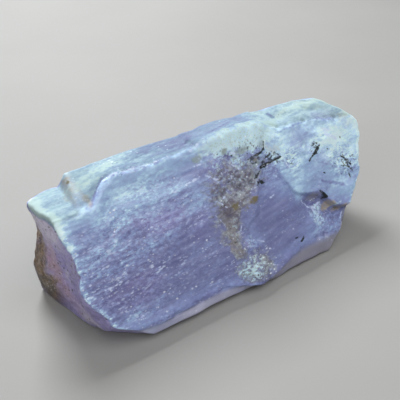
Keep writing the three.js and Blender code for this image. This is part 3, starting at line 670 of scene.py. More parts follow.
def zones(rings, around, rims):
    """Soft zones and distances over every point. Zones run from 0 to 1 and distances are millimetres."""
    x, y, z = np.moveaxis(rings, -1, 0)
    down = around - RIDGE_MARK
    row = np.arange(len(rings))[:, None] + np.zeros_like(x)
    left_cap = left_cover(row, y, z, rims[0])
    right_cap = ramp(rims[1], rims[1] + 4, row)
    front = (1 - left_cap) * (1 - right_cap) * (1 - ramp(FACE + 1.5, FACE + 4, down))
    back = ramp(HEEL_MARK, HEEL_MARK + 3, around) * ramp(GIRTH, GIRTH - 2, around)
    wx, wd = drift(x, down, 0.7, 211)
    wy, wz = drift(y, z, 0.6, 221)
    scar = pools(MOTTLE, wx, wd)
    crust = pools(CRUST, wx, wd)
    nx, nd = x + 0.14 * lumps(x / 0.8, down / 0.8, 231), down + 0.12 * lumps(x / 0.8, down / 0.8, 232)
    milk = frost_and_sheen_levels(x, down, back)
    grit = 0.26 + 0.74 * mix(mix(pools(GRIT, wx, wd), 0.25, back), 0.5, left_cap)
    milk = mix(milk, 0.42, left_cap)
    milk = mix(milk, 0.46, right_cap)
    under = ramp(FACE - 0.1, FACE + 0.9, down) * (1 - ramp(HEEL_MARK, HEEL_MARK + 3, around))
    # The top strip: duller, and multiplied darker as painted shade that makes up for the stronger light it
    # gets from the lamps above; less so on the chip's wall.
    strip = 1 - ramp(-0.6, 0.5, down - 1.6 * ramp(10, 7, x))
    strip = strip * (1 - 0.3 * band((7.9, 10.2), 0.5, x))
    behind = 0.45 + 0.3 * lumps(x / 14, down / 6, 241)
    away = np.where(front > 0.5, 0, OFF_FACE)
    return {
        "milk": np.clip(milk, 0, 1),
        "grit": np.clip(grit, 0, 1),
        "scar": scar * front * (1 - 0.35 * crust),
        "crust": crust * front,
        "hollow": pools(SHADED_HOLLOWS, nx, nd) * front,
        "tan": pools(TAN, wx, wd) * front,
        "brown": pools(BROWN, wx, wd) * front,
        "amber": pools(AMBER, wx, wd) * front,
        "cream": pools(CREAM, wx, wd) * front,
        "stain": pools(STAINS, nx, nd) * front,
        "mauve": np.clip(pools(MAUVE, wx, wd) * front + behind * back, 0, 1),
        "needle": nearest(NEEDLES, nx, nd) + away,
        "scratch": nearest(SCRATCHES_AND_HIGHLIGHTS, nx, nd) + away,
        "crack": nearest(CRACKS_AND_SHADE, nx, nd) + away,
        "speckle": pools(SPECKLE, x, down) * front,
        # Chipped white along the broken rims, partly a painted highlight.
        "wear": edge_wear_and_highlight(row, down, rims, left_cap),
        "under": under * (1 - left_cap),
        "under_clear": 1 - ramp(33, 44, x),
        "strip": strip * front,
        "left_end": left_cap,
        "olive": pools(END_OLIVE, wy, wz) * left_cap,
        "pink": pools(END_PINK, wy, wz) * left_cap,
        "pale": pools(END_GREY, wy, wz) * left_cap,
        "dark": pools(END_DARK, wy, wz) * left_cap,
    }


def build_mesh(name, rings, middle, fields, offset):
    """One closed mesh: four-sided faces between neighbouring rings and a fan at each end, with the
    zones as point attributes."""
    count = rings.shape[1]
    points = np.concatenate([rings.reshape(-1, 3), middle]) * MM + offset
    j = np.arange(count)
    following = np.roll(j, -1)
    base = np.arange(len(rings) - 1)[:, None] * count
    quads = np.stack([base + j, base + following, base + count + following, base + count + j], axis=-1)
    last_ring = (len(rings) - 1) * count
    first_pole, last_pole = len(points) - 2, len(points) - 1
    first_fan = np.stack([np.full(count, first_pole), following, j], axis=-1)
    last_fan = np.stack([np.full(count, last_pole), last_ring + j, last_ring + following], axis=-1)
    corners = np.concatenate([quads.ravel(), first_fan.ravel(), last_fan.ravel()])
    sizes = np.concatenate([np.full(quads.shape[0] * count, 4), np.full(2 * count, 3)])
    mesh = bpy.data.meshes.new(name)
    mesh.vertices.add(len(points))
    mesh.vertices.foreach_set("co", points.astype(np.float32).ravel())
    mesh.loops.add(len(corners))
    mesh.loops.foreach_set("vertex_index", corners.astype(np.int32))
    mesh.polygons.add(len(sizes))
    mesh.polygons.foreach_set("loop_start", (np.cumsum(sizes) - sizes).astype(np.int32))
    mesh.polygons.foreach_set("use_smooth", np.ones(len(sizes), bool))
    mesh.update(calc_edges=True)
    mesh.validate()
    for zone, values in fields.items():
        ends = [values[0].mean(), values[-1].mean()]
        attribute = mesh.attributes.new(zone, "FLOAT", "POINT")
        attribute.data.foreach_set("value", np.concatenate([values.ravel(), ends]).astype(np.float32))
    return mesh


# ---- material ------------------------------------------------------------------------------------
FACE_NORMAL = (0.0, -0.78, 0.625)  # of the sloping face
STREAKS = -0.12  # radians by which the streaks climb across the sloping face
SCATTER_SHARES = (0.8, 0.75, 1.0)  # how far red, green and blue scatter, as shares of the reach
BUMP_DEPTH = 0.2 * MM
# What the mottle, the scar and crust, the top strip and the painted glints do to the roughness.
DULL_SPREAD, SCAR_DULLNESS, STRIP_DULLNESS, GLINT_POLISH = 0.22, 0.25, 0.5, 0.2
FLOOR_MOTTLE, FLOOR_ROUGHNESS = 0.94, 0.75  # brightness of the floor's darker spots, and roughness


class Nodes:
    """Short calls for a node tree: each returns the new node's output socket."""

    def __init__(self, tree):
        self.tree = tree

    def add(self, kind, **settings):
        node = self.tree.nodes.new(kind)
        for name, value in settings.items():
            setattr(node, name, value)
        return node

    def feed(self, socket, value):
        if isinstance(value, bpy.types.NodeSocket):
            self.tree.links.new(value, socket)
        else:
            socket.default_value = value

    def tone(self, socket, colour):
        """Feeds a colour socket from another socket or from a plain colour."""
        self.feed(socket, colour if isinstance(colour, bpy.types.NodeSocket) else opaque(colour))

    def zone(self, name):
        return self.add("ShaderNodeAttribute", attribute_name=name).outputs["Fac"]

    def stretched(self, scale, turn=0.0):
        """Object coordinates, turned by radians about the sloping face's normal and scaled by axis."""
        place = self.add("ShaderNodeTexCoord").outputs["Object"]
        if turn:
            rotate = self.add("ShaderNodeVectorRotate", rotation_type="AXIS_ANGLE")
            self.feed(rotate.inputs["Vector"], place)
            rotate.inputs["Axis"].default_value = FACE_NORMAL
            rotate.inputs["Angle"].default_value = turn
            place = rotate.outputs["Vector"]
        mapping = self.add("ShaderNodeMapping")
        self.feed(mapping.inputs["Vector"], place)
        mapping.inputs["Scale"].default_value = scale
        return mapping.outputs["Vector"]

    def noise(self, scale, detail=3.0, roughness=0.55, distortion=0.0, turn=0.0):
        """Noise with the given number of features a metre along x, y and z."""
        node = self.add("ShaderNodeTexNoise")
        self.feed(node.inputs["Vector"], self.stretched(scale, turn))
        node.inputs["Scale"].default_value = 1.0
        node.inputs["Detail"].default_value = detail
        node.inputs["Roughness"].default_value = roughness
        node.inputs["Distortion"].default_value = distortion
        return node.outputs["Fac"]

    def dots(self, scale, turn=0.0):
        """Distance to the nearest of scattered points."""
        node = self.add("ShaderNodeTexVoronoi")
        self.feed(node.inputs["Vector"], self.stretched(scale, turn))
        node.inputs["Scale"].default_value = 1.0
        return node.outputs["Distance"]

    def web(self, scale, warp):
        """Distance to the borders of scattered cells, warped by noise so that they run unevenly."""
        wobble = self.add("ShaderNodeTexNoise")
        self.feed(wobble.inputs["Vector"], self.stretched([2.2 * k for k in scale]))
        wobble.inputs["Scale"].default_value = 1.0
        shift = self.add("ShaderNodeVectorMath", operation="SCALE")
        self.feed(shift.inputs["Vector"], wobble.outputs["Color"])
        shift.inputs["Scale"].default_value = warp
        place = self.add("ShaderNodeVectorMath", operation="ADD")
        self.feed(place.inputs[0], self.stretched(scale))
        self.feed(place.inputs[1], shift.outputs["Vector"])
        node = self.add("ShaderNodeTexVoronoi", feature="DISTANCE_TO_EDGE")
        self.feed(node.inputs["Vector"], place.outputs["Vector"])
        node.inputs["Scale"].default_value = 1.0
        return node.outputs["Distance"]

    def math(self, operation, a, b=0.0, clamp=False):
        node = self.add("ShaderNodeMath", operation=operation, use_clamp=clamp)
        self.feed(node.inputs[0], a)
        self.feed(node.inputs[1], b)
        return node.outputs[0]

    def plus(self, a, b):
        return self.math("ADD", a, b)

    def minus(self, a, b, clamp=False):
        return self.math("SUBTRACT", a, b, clamp)

    def times(self, a, b):
        return self.math("MULTIPLY", a, b)

    def fit(self, value, low, high, to_low=0.0, to_high=1.0):
        """Smooth step of a value from low..high to to_low..to_high."""
        node = self.add("ShaderNodeMapRange", interpolation_type="SMOOTHSTEP")
        self.feed(node.inputs["Value"], value)
        ends = {"From Min": low, "From Max": high, "To Min": to_low, "To Max": to_high}
        for name, number in ends.items():
            self.feed(node.inputs[name], number)
        return node.outputs[0]

    def blend(self, a, b, share, mode="MIX"):
        """Colour a with colour b laid over it by the share."""
        node = self.add("ShaderNodeMix", data_type="RGBA", blend_type=mode)
        self.feed(node.inputs["Factor"], share)
        self.tone(node.inputs["A"], a)
        self.tone(node.inputs["B"], b)
        return node.outputs["Result"]

    def colours(self, value, *stops):
        """Colour ramp of (position, plain colour) stops."""
        node = self.add("ShaderNodeValToRGB")
        self.feed(node.inputs["Fac"], value)
        elements = node.color_ramp.elements
        elements[0].position, elements[0].color = stops[0][0], opaque(stops[0][1])
        elements[1].position, elements[1].color = stops[-1][0], opaque(stops[-1][1])
        for position, colour in stops[1:-1]:
            elements.new(position).color = opaque(colour)
        return node.outputs["Color"]


def opaque(colour):
    """A colour with full alpha."""
    return (*colour[:3], 1.0)


def face_colour(n, finish):
    """Violet to frost by how milky the face is, a value that carries painted sheen too, broken up by
    veils, long streaks, short strokes and grain, with crisp pale flecks that gather in clumps, dark motes,
    mauve areas and dark cracks with the painted shade of grooves and folds."""
    veils = n.noise((110, 300, 300), detail=4, roughness=0.6, distortion=0.5, turn=STREAKS)
    streaks = n.noise((120, 700, 700), detail=5, roughness=0.66, distortion=0.3, turn=STREAKS)
    strokes = n.noise((480, 1150, 1150), detail=3, roughness=0.62, turn=STREAKS)
    grain = n.noise((1300, 1700, 1700), detail=3, roughness=0.55)
    flecks = n.noise((800, 1500, 1500), detail=2, roughness=0.55, turn=STREAKS)
    gather = n.noise((150, 420, 420), detail=3, turn=STREAKS)
    grit, wear = n.zone("grit"), n.zone("wear")
    rough = n.plus(n.fit(strokes, 0.3, 0.72, -0.13, 0.15), n.fit(grain, 0.3, 0.7, -0.16, 0.17))
    motes = n.times(n.fit(flecks, 0.4, 0.32), n.fit(gather, 0.4, 0.6, 0.05, 0.25))
    rough = n.minus(rough, motes)
    cloud = n.times(n.fit(veils, 0.3, 0.7, -0.11, 0.11), n.fit(grit, 0.0, 0.7, 0.5, 1.0))
    long_cloud = n.times(n.fit(streaks, 0.34, 0.66, -0.09, 0.12), n.fit(grit, 0.0, 0.7, 0.4, 1.0))
    milk = n.plus(n.zone("milk"), n.plus(n.plus(cloud, long_cloud), n.times(rough, grit)))
    specks = n.plus(n.dots((900, 2000, 2000), turn=STREAKS), n.fit(flecks, 0.34, 0.66, 0.3, -0.24))
    crisp = n.fit(specks, 0.36, 0.12)
    veins = n.fit(n.web((330, 700, 700), 1.2), 0.05, 0.0, 0.0, 0.3)
    # Chipped white along the broken rims, partly a painted highlight on those edges.
    chipped_and_highlight = n.plus(n.fit(strokes, 0.3, 0.6, 0.14, 0.46), n.times(crisp, 0.5))
    milk = n.plus(milk, n.times(wear, chipped_and_highlight))
    # Cracks, and the painted shade of grooves and folds, darken the colour.
    crack = n.fit(n.plus(n.zone("crack"), n.fit(grain, 0.3, 0.7, -0.1, 0.15)), 0.4, -0.25, 0, 0.32)
    crack = n.plus(crack, n.times(veins, n.fit(grit, 0.2, 0.9)))
    milk = n.minus(n.math("MINIMUM", milk, 1.05), crack, clamp=True)
    colour = n.colours(milk, (0.0, finish.deep), (0.25, finish.violet), (0.5, finish.lilac),
                       (0.75, finish.frost), (0.92, finish.white), (1.0, finish.snow))
    mauve = n.times(n.zone("mauve"), n.fit(veils, 0.35, 0.6, 0.35, 0.9))
    colour = n.blend(colour, finish.mauve, mauve, mode="SOFT_LIGHT")
    clump = n.times(n.fit(gather, 0.44, 0.6, 0.12, 0.62), n.fit(grit, 0.2, 0.9, 0.15, 1.0))
    colour = n.blend(colour, finish.fleck, n.times(crisp, clump))
    below = n.blend(finish.underside, finish.underside_clear, n.zone("under_clear"))
    under = n.times(n.zone("under"), n.fit(veils, 0.3, 0.7, 0.9, 0.6))
    return n.blend(colour, below, under)


def scar_colour(n, finish):
    """Mottled grey, tan or brown where stained, with pale borders between its lumps, and dark and
    white grains."""
    mottle = n.noise((430, 540, 540), detail=5, roughness=0.66)
    rims = n.web((560, 720, 720), 1.7)
    grains = n.noise((1350, 1600, 1600), detail=3, roughness=0.62)
    base = n.colours(mottle, (0.38, finish.scar_dark), (0.5, finish.scar), (0.62, finish.scar_pale))
    tan = n.times(n.zone("tan"), n.fit(mottle, 0.3, 0.7, 0.95, 0.5))
    base = n.blend(base, finish.tan, tan)
    brown = n.times(n.zone("brown"), n.fit(mottle, 0.35, 0.65, 0.95, 0.3))
    base = n.blend(base, finish.brown, brown)
    base = n.blend(base, finish.scar_dark, n.fit(grains, 0.46, 0.34, 0.0, 0.5))
    pale = n.times(n.fit(rims, 0.07, 0.0), n.fit(mottle, 0.46, 0.6, 0.0, 0.38))
    base = n.blend(base, finish.crust, pale)
    bright = n.times(n.fit(grains, 0.56, 0.67, 0.0, 0.42),
                     n.fit(n.zone("brown"), 0.3, 1.0, 1.0, 0.35))
    return n.blend(base, finish.white, bright)


def end_colour(n, finish, clean):
    """Left break: violet turned pinkish, an olive-brown stained side, a pale grey top and dark specks."""
    patches = n.noise((230, 330, 230), detail=5, roughness=0.6, distortion=0.4)
    fine = n.noise((1300, 1300, 1300), detail=3, roughness=0.6)
    colour = n.blend(clean, finish.break_violet, n.fit(patches, 0.3, 0.7, 0.95, 0.75))
    pink = n.times(n.zone("pink"), n.fit(patches, 0.3, 0.6, 0.5, 1))
    colour = n.blend(colour, finish.break_pink, pink)
    colour = n.blend(colour, finish.break_grey, n.zone("pale"))
    stained = n.colours(n.plus(n.times(patches, 0.6), n.times(fine, 0.4)), (0.38, finish.olive_dark),
                        (0.52, finish.olive), (0.66, finish.golden))
    olive = n.plus(n.zone("olive"), n.fit(patches, 0.3, 0.7, -0.2, 0.2))
    colour = n.blend(colour, stained, n.fit(olive, 0.05, 1.0, 0.0, 0.9))
    light = n.fit(fine, 0.35, 0.65, -0.2, 0.2)
    colour = n.blend(colour, finish.break_grey, n.fit(light, 0.05, 0.2, 0.0, 0.2))
    colour = n.blend(colour, finish.olive_dark, n.fit(light, -0.05, -0.2, 0.0, 0.25))
    # Darker towards the bottom of the end, in the darkest olive.
    dark = n.times(n.zone("dark"), n.fit(patches, 0.3, 0.7, 0.9, 0.55))
    colour = n.blend(colour, finish.olive_dark, dark)
    specks = n.times(n.fit(n.dots((850, 800, 800)), 0.26, 0.12), n.fit(patches, 0.42, 0.54))
    return n.blend(colour, finish.olive_dark, n.times(specks, 0.85))


def crystal_colour(n, finish):
    """The faces with the left end, the scar, the crust and its hollows, cream, amber, scratches, rust,
    specks, the top strip's painted shade and the needles laid over them in turn."""
    ragged = n.fit(n.noise((900, 1100, 1100), detail=4, roughness=0.65), 0.3, 0.7, -0.3, 0.3)
    colour = face_colour(n, finish)
    colour = n.blend(colour, end_colour(n, finish, colour), n.zone("left_end"))
    scar = n.fit(n.plus(n.zone("scar"), ragged), 0.2, 0.95, 0.0, 0.9)
    colour = n.blend(colour, scar_colour(n, finish), scar)
    grains = n.noise((2000, 2200, 2200), detail=3, roughness=0.65)
    loose = n.times(n.minus(grains, 0.5), n.fit(n.zone("grit"), 0.1, 0.8, 0.3, 1.6))
    crust = n.plus(n.plus(n.zone("crust"), n.times(ragged, 0.7)), loose)
    crust = n.fit(crust, 0.3, 0.85, 0.0, 0.93)
    lit = n.times(n.minus(grains, 0.5), n.fit(n.zone("grit"), 0.1, 0.9, 0.5, 1.0))
    crusty = n.colours(n.plus(lit, 0.55), (0.38, finish.crust_dark), (0.52, finish.crust),
                       (0.64, finish.white))
    colour = n.blend(colour, crusty, crust)
    # Grey-green hollows of the crust: partly clearer crystal, partly painted shade in the pits.
    hollow = n.fit(n.plus(n.zone("hollow"), n.times(ragged, 0.6)), 0.15, 0.9, 0.0, 0.8)
    colour = n.blend(colour, finish.crust_dark, hollow)
    cream = n.fit(n.plus(n.zone("cream"), n.times(ragged, 0.7)), 0.1, 1.0, 0.0, 0.75)
    colour = n.blend(colour, finish.cream, cream)
    amber = n.fit(n.plus(n.zone("amber"), ragged), 0.2, 1.0, 0.0, 0.8)
    colour = n.blend(colour, finish.amber, amber)
    # White scratches and rims in the fleck colour; some are painted highlights, and one is a painted
    # reflection.
    scratch = n.plus(n.zone("scratch"), n.times(ragged, 0.7))
    colour = n.blend(colour, finish.fleck, n.fit(scratch, 0.16, -0.12, 0.0, 0.7))
    stain = n.fit(n.plus(n.zone("stain"), ragged), 0.25, 1.0, 0.0, 0.85)
    colour = n.blend(colour, finish.rust, stain)
    specks = n.noise((1700, 1700, 1700), detail=3, roughness=0.6)
    gathered = n.plus(specks, n.times(n.minus(n.zone("speckle"), 1.0), 0.2))
    colour = n.blend(colour, finish.needle, n.fit(gathered, 0.528, 0.605, 0.0, 0.8))
    # Painted shade: the top strip is multiplied darker, making up for the stronger light it gets from
    # above.
    colour = n.blend(colour, finish.strip, n.zone("strip"), mode="MULTIPLY")
    needle = n.fit(n.plus(n.zone("needle"), n.times(ragged, 0.28)), 0.13, -0.04, 0.0, 1.0)
    needle = n.times(needle, n.fit(specks, 0.34, 0.42, 0.55, 1.0))
    return n.blend(colour, finish.needle, needle)


def painted_glint_mask(n):
    """Painted glints: tiny bright reflections drawn as the hearts of scattered points, thinned by noise so
    that they gather.
    """
    few = n.fit(n.dots((560, 800, 800)), 0.18, 0.08)
    few = n.times(few, n.fit(n.noise((200, 260, 260)), 0.5, 0.6))
    many = n.fit(n.dots((1100, 1700, 1700)), 0.24, 0.12)
    many = n.times(many, n.fit(n.noise((240, 420, 420)), 0.5, 0.6))
    return n.math("MAXIMUM", few, n.times(many, 0.75))


def crystal_material(finish):
    """Cloudy crystal: a Principled shader with modest plain transmission and soft scattering, coloured
    and roughened by the zones, with striations and grain in its bump, and violet absorption inside."""
    material = bpy.data.materials.new("kunzite")
    material.use_nodes = True
    tree = material.node_tree
    tree.nodes.clear()
    n = Nodes(tree)
    output = n.add("ShaderNodeOutputMaterial")
    shader = n.add("ShaderNodeBsdfPrincipled")
    tree.links.new(shader.outputs["BSDF"], output.inputs["Surface"])
    inside = n.add("ShaderNodeVolumeAbsorption")
    inside.inputs["Color"].default_value = opaque(finish.depth_tint)
    inside.inputs["Density"].default_value = finish.depth_density
    tree.links.new(inside.outputs["Volume"], output.inputs["Volume"])
    # Painted glints: tiny reflections laid into the base colour, most where the faces are granular.
    painted_glints = n.times(painted_glint_mask(n), n.fit(n.zone("grit"), 0.1, 0.6, 0.15, 1.0))
    colour = n.blend(crystal_colour(n, finish), finish.painted_glint, n.times(painted_glints, 0.9))
    n.feed(shader.inputs["Base Color"], colour)
    mottle = n.noise((300, 1200, 1200), detail=4, roughness=0.6)
    rough = n.fit(mottle, 0.3, 0.7, finish.polish, finish.polish + DULL_SPREAD)
    rough = n.plus(rough, n.times(n.math("MAXIMUM", n.zone("scar"), n.zone("crust")), SCAR_DULLNESS))
    rough = n.plus(rough, n.times(n.zone("strip"), STRIP_DULLNESS))
    rough = n.minus(rough, n.times(painted_glints, GLINT_POLISH), clamp=True)
    n.feed(shader.inputs["Roughness"], rough)
    shader.inputs["IOR"].default_value = finish.ior
    shader.inputs["Specular IOR Level"].default_value = finish.gloss
    shader.inputs["Transmission Weight"].default_value = finish.transmission
    shader.inputs["Subsurface Weight"].default_value = finish.scatter
    shader.inputs["Subsurface Radius"].default_value = SCATTER_SHARES
    shader.inputs["Subsurface Scale"].default_value = finish.scatter_reach
    striae = n.noise((90, 2400, 2400), detail=4, roughness=0.65)
    grain = n.noise((1500, 1700, 1700), detail=4, roughness=0.65)
    height = n.plus(n.times(striae, 0.6), n.times(grain, 0.4))
    bump = n.add("ShaderNodeBump")
    bump.inputs["Strength"].default_value = finish.bump
    bump.inputs["Distance"].default_value = BUMP_DEPTH
    n.feed(bump.inputs["Height"], n.times(height, n.fit(n.zone("grit"), 0.1, 0.6, 0.35, 1.0)))
    n.feed(shader.inputs["Normal"], bump.outputs["Normal"])
    return material


def floor_material(colour):
    """Plain pale floor with a faint mottle, so it isn't quite flat."""
    material = bpy.data.materials.new("pale_floor")
    material.use_nodes = True
    n = Nodes(material.node_tree)
    shader = material.node_tree.nodes["Principled BSDF"]
    mottle = n.noise((14, 14, 14), detail=3)
    darker = [FLOOR_MOTTLE * channel for channel in colour]
    n.feed(shader.inputs["Base Color"], n.colours(mottle, (0.3, darker), (0.7, colour)))
    shader.inputs["Roughness"].default_value = FLOOR_ROUGHNESS
    return material


# ---- settings ------------------------------------------------------------------------------------
def tint(name, description, default):
    """A colour property."""
    return FloatVectorProperty(name=name, description=description, subtype="COLOR", size=3,
                               min=0.0, max=1.0, default=default)


def size(name, description, millimetres):
    """A length property, given in millimetres."""
    return FloatProperty(name=name, description=description, default=millimetres * MM, min=0.0,
                         soft_max=1.0 * MM, precision=5, unit="LENGTH")


class CrystalShape(bpy.types.PropertyGroup):
    """Depths of the relief that is finer than the solid."""

    striation: size("Striations", "Depth of the fine grooves along the crystal", 0.1)
    grain: size("Scar grain", "Height of the grains in the scar and its crusts", 0.24)
    facet: size("Facets", "Depth of the folds between the frosted block's facets", 0.6)
    pit: size("Pits", "Depth of the small pits in the frosted block", 0.14)
    nick: size("Nicks", "Depth of the nicks along the ridge and the front edge", 0.3)
    groove: size("Groove", "Depth of the groove beside the chip", 0.55)
    hackle: size("Hackle", "Roughness of the broken ends", 0.24)
    rim_wear: IntProperty(name="Rim wear", description="How many times the broken rims are rounded over",
                          default=8, min=0, max=40)


class CrystalFinish(bpy.types.PropertyGroup):
    """Colours and gloss of the crystal."""

    deep: tint("Deep violet", "Darkest violet", (0.133, 0.14, 0.318))
    violet: tint("Violet", "Usual violet of the clear faces", (0.18, 0.199, 0.395))
    lilac: tint("Lilac", "Half milky faces", (0.25, 0.305, 0.555))
    frost: tint("Frost", "Frosted faces", (0.37, 0.53, 0.75))
    white: tint("White", "Chips, grains and thick frost", (0.6, 0.83, 0.97))
    snow: tint("Snow", "Brightest patches of the frost", (0.76, 0.97, 1.0))
    # Painted shade: how much darker the top strip is painted, making up for the stronger light it gets
    # from above.
    strip: tint("Top strip", "How much clearer and darker the top strip is", (0.52, 0.533, 0.505))
    # Colour of the painted glints, tiny reflections laid into the base colour.
    painted_glint: tint("Sparkles", "Tiny bright flaws", (0.9, 0.95, 1.0))
    fleck: tint("Flecks", "Crisp pale flecks on the clear faces", (0.7, 0.8, 1.0))
    mauve: tint("Mauve", "Pinkish areas of the faces", (0.58, 0.41, 0.47))
    scar: tint("Scar", "Middle tone of the scar", (0.19, 0.188, 0.225))
    scar_dark: tint("Dark scar", "Dark mottles in the scar", (0.075, 0.069, 0.08))
    scar_pale: tint("Pale scar", "Pale mottles in the scar", (0.38, 0.405, 0.43))
    tan: tint("Tan", "Tan areas of the scar", (0.29, 0.272, 0.26))
    brown: tint("Brown", "Brown-mauve areas of the scar", (0.125, 0.094, 0.1))
    amber: tint("Amber", "Amber and pinkish brown stains", (0.47, 0.4, 0.29))
    cream: tint("Cream", "Cream parts of the chip's wall and the top", (0.56, 0.51, 0.44))
    crust: tint("Crust", "Greenish white crust", (0.64, 0.84, 0.84))
    # Also the painted shade in the crust's hollows.
    crust_dark: tint("Crust, dark", "Grey-green hollows of the crust", (0.3, 0.38, 0.38))
    rust: tint("Rust", "Rusty and olive stains", (0.18, 0.145, 0.05))
    needle: tint("Needles", "Dark needles and specks", (0.005, 0.011, 0.013))
    break_violet: tint("Break, violet", "Clear part of the broken end", (0.37, 0.315, 0.65))
    break_pink: tint("Break, pink", "Pink part of the broken end", (0.5, 0.31, 0.38))
    break_grey: tint("Break, grey", "Pale parts of the broken end", (0.68, 0.63, 0.8))
    olive: tint("Olive", "Stained side of the broken end", (0.25, 0.152, 0.038))
    olive_dark: tint("Dark olive", "Darkest stain on the broken end", (0.052, 0.034, 0.014))
    golden: tint("Golden", "Warmest part of the stained side", (0.4, 0.262, 0.085))
    underside: tint("Underside", "Grey strip below the front edge", (0.345, 0.325, 0.37))
    underside_clear: tint("Underside, clear", "Lilac left part of that strip", (0.54, 0.54, 0.66))
    depth_tint: tint("Depth tint", "Colour left after a long way through the crystal", (0.74, 0.64, 0.92))
    depth_density: FloatProperty(name="Depth density", description="How strongly depth tints, per metre",
                                 default=50.0, min=0.0)
    polish: FloatProperty(name="Polish", description="Roughness of the smoothest faces", default=0.3,
                          min=0.0, max=1.0, subtype="FACTOR")
    gloss: FloatProperty(name="Gloss", description="Strength of the surface reflection", default=0.35,
                         min=0.0, max=1.0, subtype="FACTOR")
    bump: FloatProperty(name="Bump", description="Strength of the finest striations", default=0.35,
                        min=0.0, max=1.0, subtype="FACTOR")
    ior: FloatProperty(name="IOR", description="Refractive index of spodumene", default=1.66, min=1.0,
                       max=3.0)
    transmission: FloatProperty(name="Clarity", description="Share of light that passes clean through",
                                default=0.2, min=0.0, max=1.0, subtype="FACTOR")
    scatter: FloatProperty(name="Cloudiness", description="Share of light scattered inside",
                           default=0.28, min=0.0, max=1.0, subtype="FACTOR")
    scatter_reach: FloatProperty(name="Scatter reach", description="How far scattered light travels",
                                 default=0.0015, min=0.0, max=0.05, unit="LENGTH")


class CrystalStage(bpy.types.PropertyGroup):
    """Floor, lights and camera."""

    floor: tint("Floor", "Colour of the plain floor", (0.25, 0.244, 0.233))
    floor_size: FloatProperty(name="Floor size", description="Side of the floor", default=3.0,
                              unit="LENGTH")
    key_power: FloatProperty(name="Window light", description="Power of the light behind, in watts",
                             default=3.6, min=0.0)
    fill_power: FloatProperty(name="Ceiling light", description="Power of the light above, in watts",
                              default=1.95, min=0.0)
    side_power: FloatProperty(name="Side light", description="Power of the light on the left, in watts",
                              default=0.55, min=0.0)
    sky: FloatProperty(name="Sky", description="Strength of the light from all round", default=0.17,
                       min=0.0)


# ---- operators -----------------------------------------------------------------------------------
class OBJECT_OT_add_kunzite(bpy.types.Operator):
    """Build the crystal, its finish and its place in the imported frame"""

    bl_idname = "object.add_kunzite"
    bl_label = "Add Kunzite Crystal"

    def execute(self, context):
        shape = context.scene.crystal_shape
        rings, around, rims = crystal_rings(FINE_STEPS, FINE_STATIONS, FINE_CAP_RINGS, shape)
        fields = zones(rings, around, rims)
        for rim in rims:
            rings = wear_rims(rings, rim, shape.rim_wear)
        mesh = build_mesh("kunzite", rings, poles(shape), fields, frame_offset())
        if not len(mesh.polygons):
            raise RuntimeError("the crystal's mesh came out empty")
        crystal = bpy.data.objects.new("kunzite", mesh)
        context.scene.collection.objects.link(crystal)
        mesh.materials.append(crystal_material(context.scene.crystal_finish))
        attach(crystal, "root")
        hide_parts(NODE)
        return {"FINISHED"}


CAMERA_AT = (-18.2, -91.03, 90.0)  # in crystal coordinates, millimetres
CAMERA_TURN, CAMERA_TILT = -33.4, 37.0  # degrees to the right of +Y and below the horizon
CAMERA_LENS, CAMERA_SENSOR = 50.04, 36.0  # millimetres
SKY_COLOUR = (0.9, 0.95, 1.0)
LIGHT_AIM = (0, 0, 0.012)
# Soft square lights: name, place, side, the setting that holds the power, and colour.
LIGHTS = (
    ("window", (0.05, 0.33, 0.36), 0.17, "key_power", (0.95, 0.98, 1.0)),
    ("ceiling", (0.06, -0.2, 0.46), 0.4, "fill_power", (0.97, 0.98, 1.0)),
    ("side", (-0.34, -0.11, 0.27), 0.3, "side_power", (1.0, 0.98, 0.96)),
)


def add_camera(context, offset):
    """Camera that looks down on the front from the left."""
    data = bpy.data.cameras.new("camera")
    data.lens = CAMERA_LENS
    data.sensor_width = CAMERA_SENSOR
    data.clip_start = 0.005
    camera = bpy.data.objects.new("camera", data)
    camera.location = Vector(np.array(CAMERA_AT) * MM + offset)
    camera.rotation_euler = Euler((math.radians(90 - CAMERA_TILT), 0, math.radians(CAMERA_TURN)))
    context.scene.collection.objects.link(camera)
    context.scene.camera = camera


def add_area(context, name, at, side, power, colour):
    """Square soft light at a place, aimed at the crystal."""
    data = bpy.data.lights.new(name, "AREA")
    data.size = side
    data.energy = power
    data.color = colour
    light = bpy.data.objects.new(name, data)
    light.location = at
    light.rotation_euler = (Vector(LIGHT_AIM) - Vector(at)).to_track_quat("-Z", "Y").to_euler()
    context.scene.collection.objects.link(light)


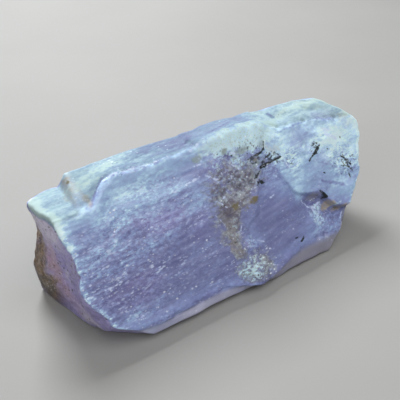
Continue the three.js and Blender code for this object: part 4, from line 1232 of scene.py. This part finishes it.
class OBJECT_OT_add_crystal_stage(bpy.types.Operator):
    """Build the plain floor, the soft lights and the camera"""

    bl_idname = "object.add_crystal_stage"
    bl_label = "Add Stage"

    def execute(self, context):
        stage = context.scene.crystal_stage
        half = stage.floor_size / 2
        mesh = bpy.data.meshes.new("floor")
        mesh.from_pydata([(-half, -half, 0), (half, -half, 0), (half, half, 0), (-half, half, 0)], [],
                         [(0, 1, 2, 3)])
        mesh.materials.append(floor_material(stage.floor))
        floor = bpy.data.objects.new("floor", mesh)
        context.scene.collection.objects.link(floor)
        for name, at, side, power, colour in LIGHTS:
            add_area(context, name, at, side, getattr(stage, power), colour)
        world = bpy.data.worlds.new("sky")
        world.use_nodes = True
        background = world.node_tree.nodes["Background"]
        background.inputs["Color"].default_value = opaque(SKY_COLOUR)
        background.inputs["Strength"].default_value = stage.sky
        context.scene.world = world
        context.scene.view_settings.view_transform = "Standard"
        add_camera(context, frame_offset())
        return {"FINISHED"}


class VIEW3D_PT_crystal(bpy.types.Panel):
    """Sidebar panel with the crystal's and the stage's settings"""

    bl_idname = "VIEW3D_PT_crystal"
    bl_label = "Kunzite Crystal"
    bl_space_type = "VIEW_3D"
    bl_region_type = "UI"
    bl_category = "Crystal"

    def draw(self, context):
        scene = context.scene
        parts = (((scene.crystal_shape, scene.crystal_finish), OBJECT_OT_add_kunzite),
                 ((scene.crystal_stage,), OBJECT_OT_add_crystal_stage))
        for groups, operator in parts:
            column = self.layout.column(align=True)
            for settings in groups:
                for name in type(settings).__annotations__:
                    column.prop(settings, name)
            column.operator(operator.bl_idname)


CLASSES = (CrystalShape, CrystalFinish, CrystalStage, OBJECT_OT_add_kunzite, OBJECT_OT_add_crystal_stage,
           VIEW3D_PT_crystal)


def register():
    for cls in CLASSES:
        bpy.utils.register_class(cls)
    bpy.types.Scene.crystal_shape = PointerProperty(type=CrystalShape)
    bpy.types.Scene.crystal_finish = PointerProperty(type=CrystalFinish)
    bpy.types.Scene.crystal_stage = PointerProperty(type=CrystalStage)


def unregister():
    del bpy.types.Scene.crystal_stage
    del bpy.types.Scene.crystal_finish
    del bpy.types.Scene.crystal_shape
    for cls in reversed(CLASSES):
        bpy.utils.unregister_class(cls)


def main():
    """Registers the classes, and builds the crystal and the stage."""
    register()
    bpy.ops.object.add_kunzite()
    bpy.ops.object.add_crystal_stage()


if __name__ == "__main__":
    main()
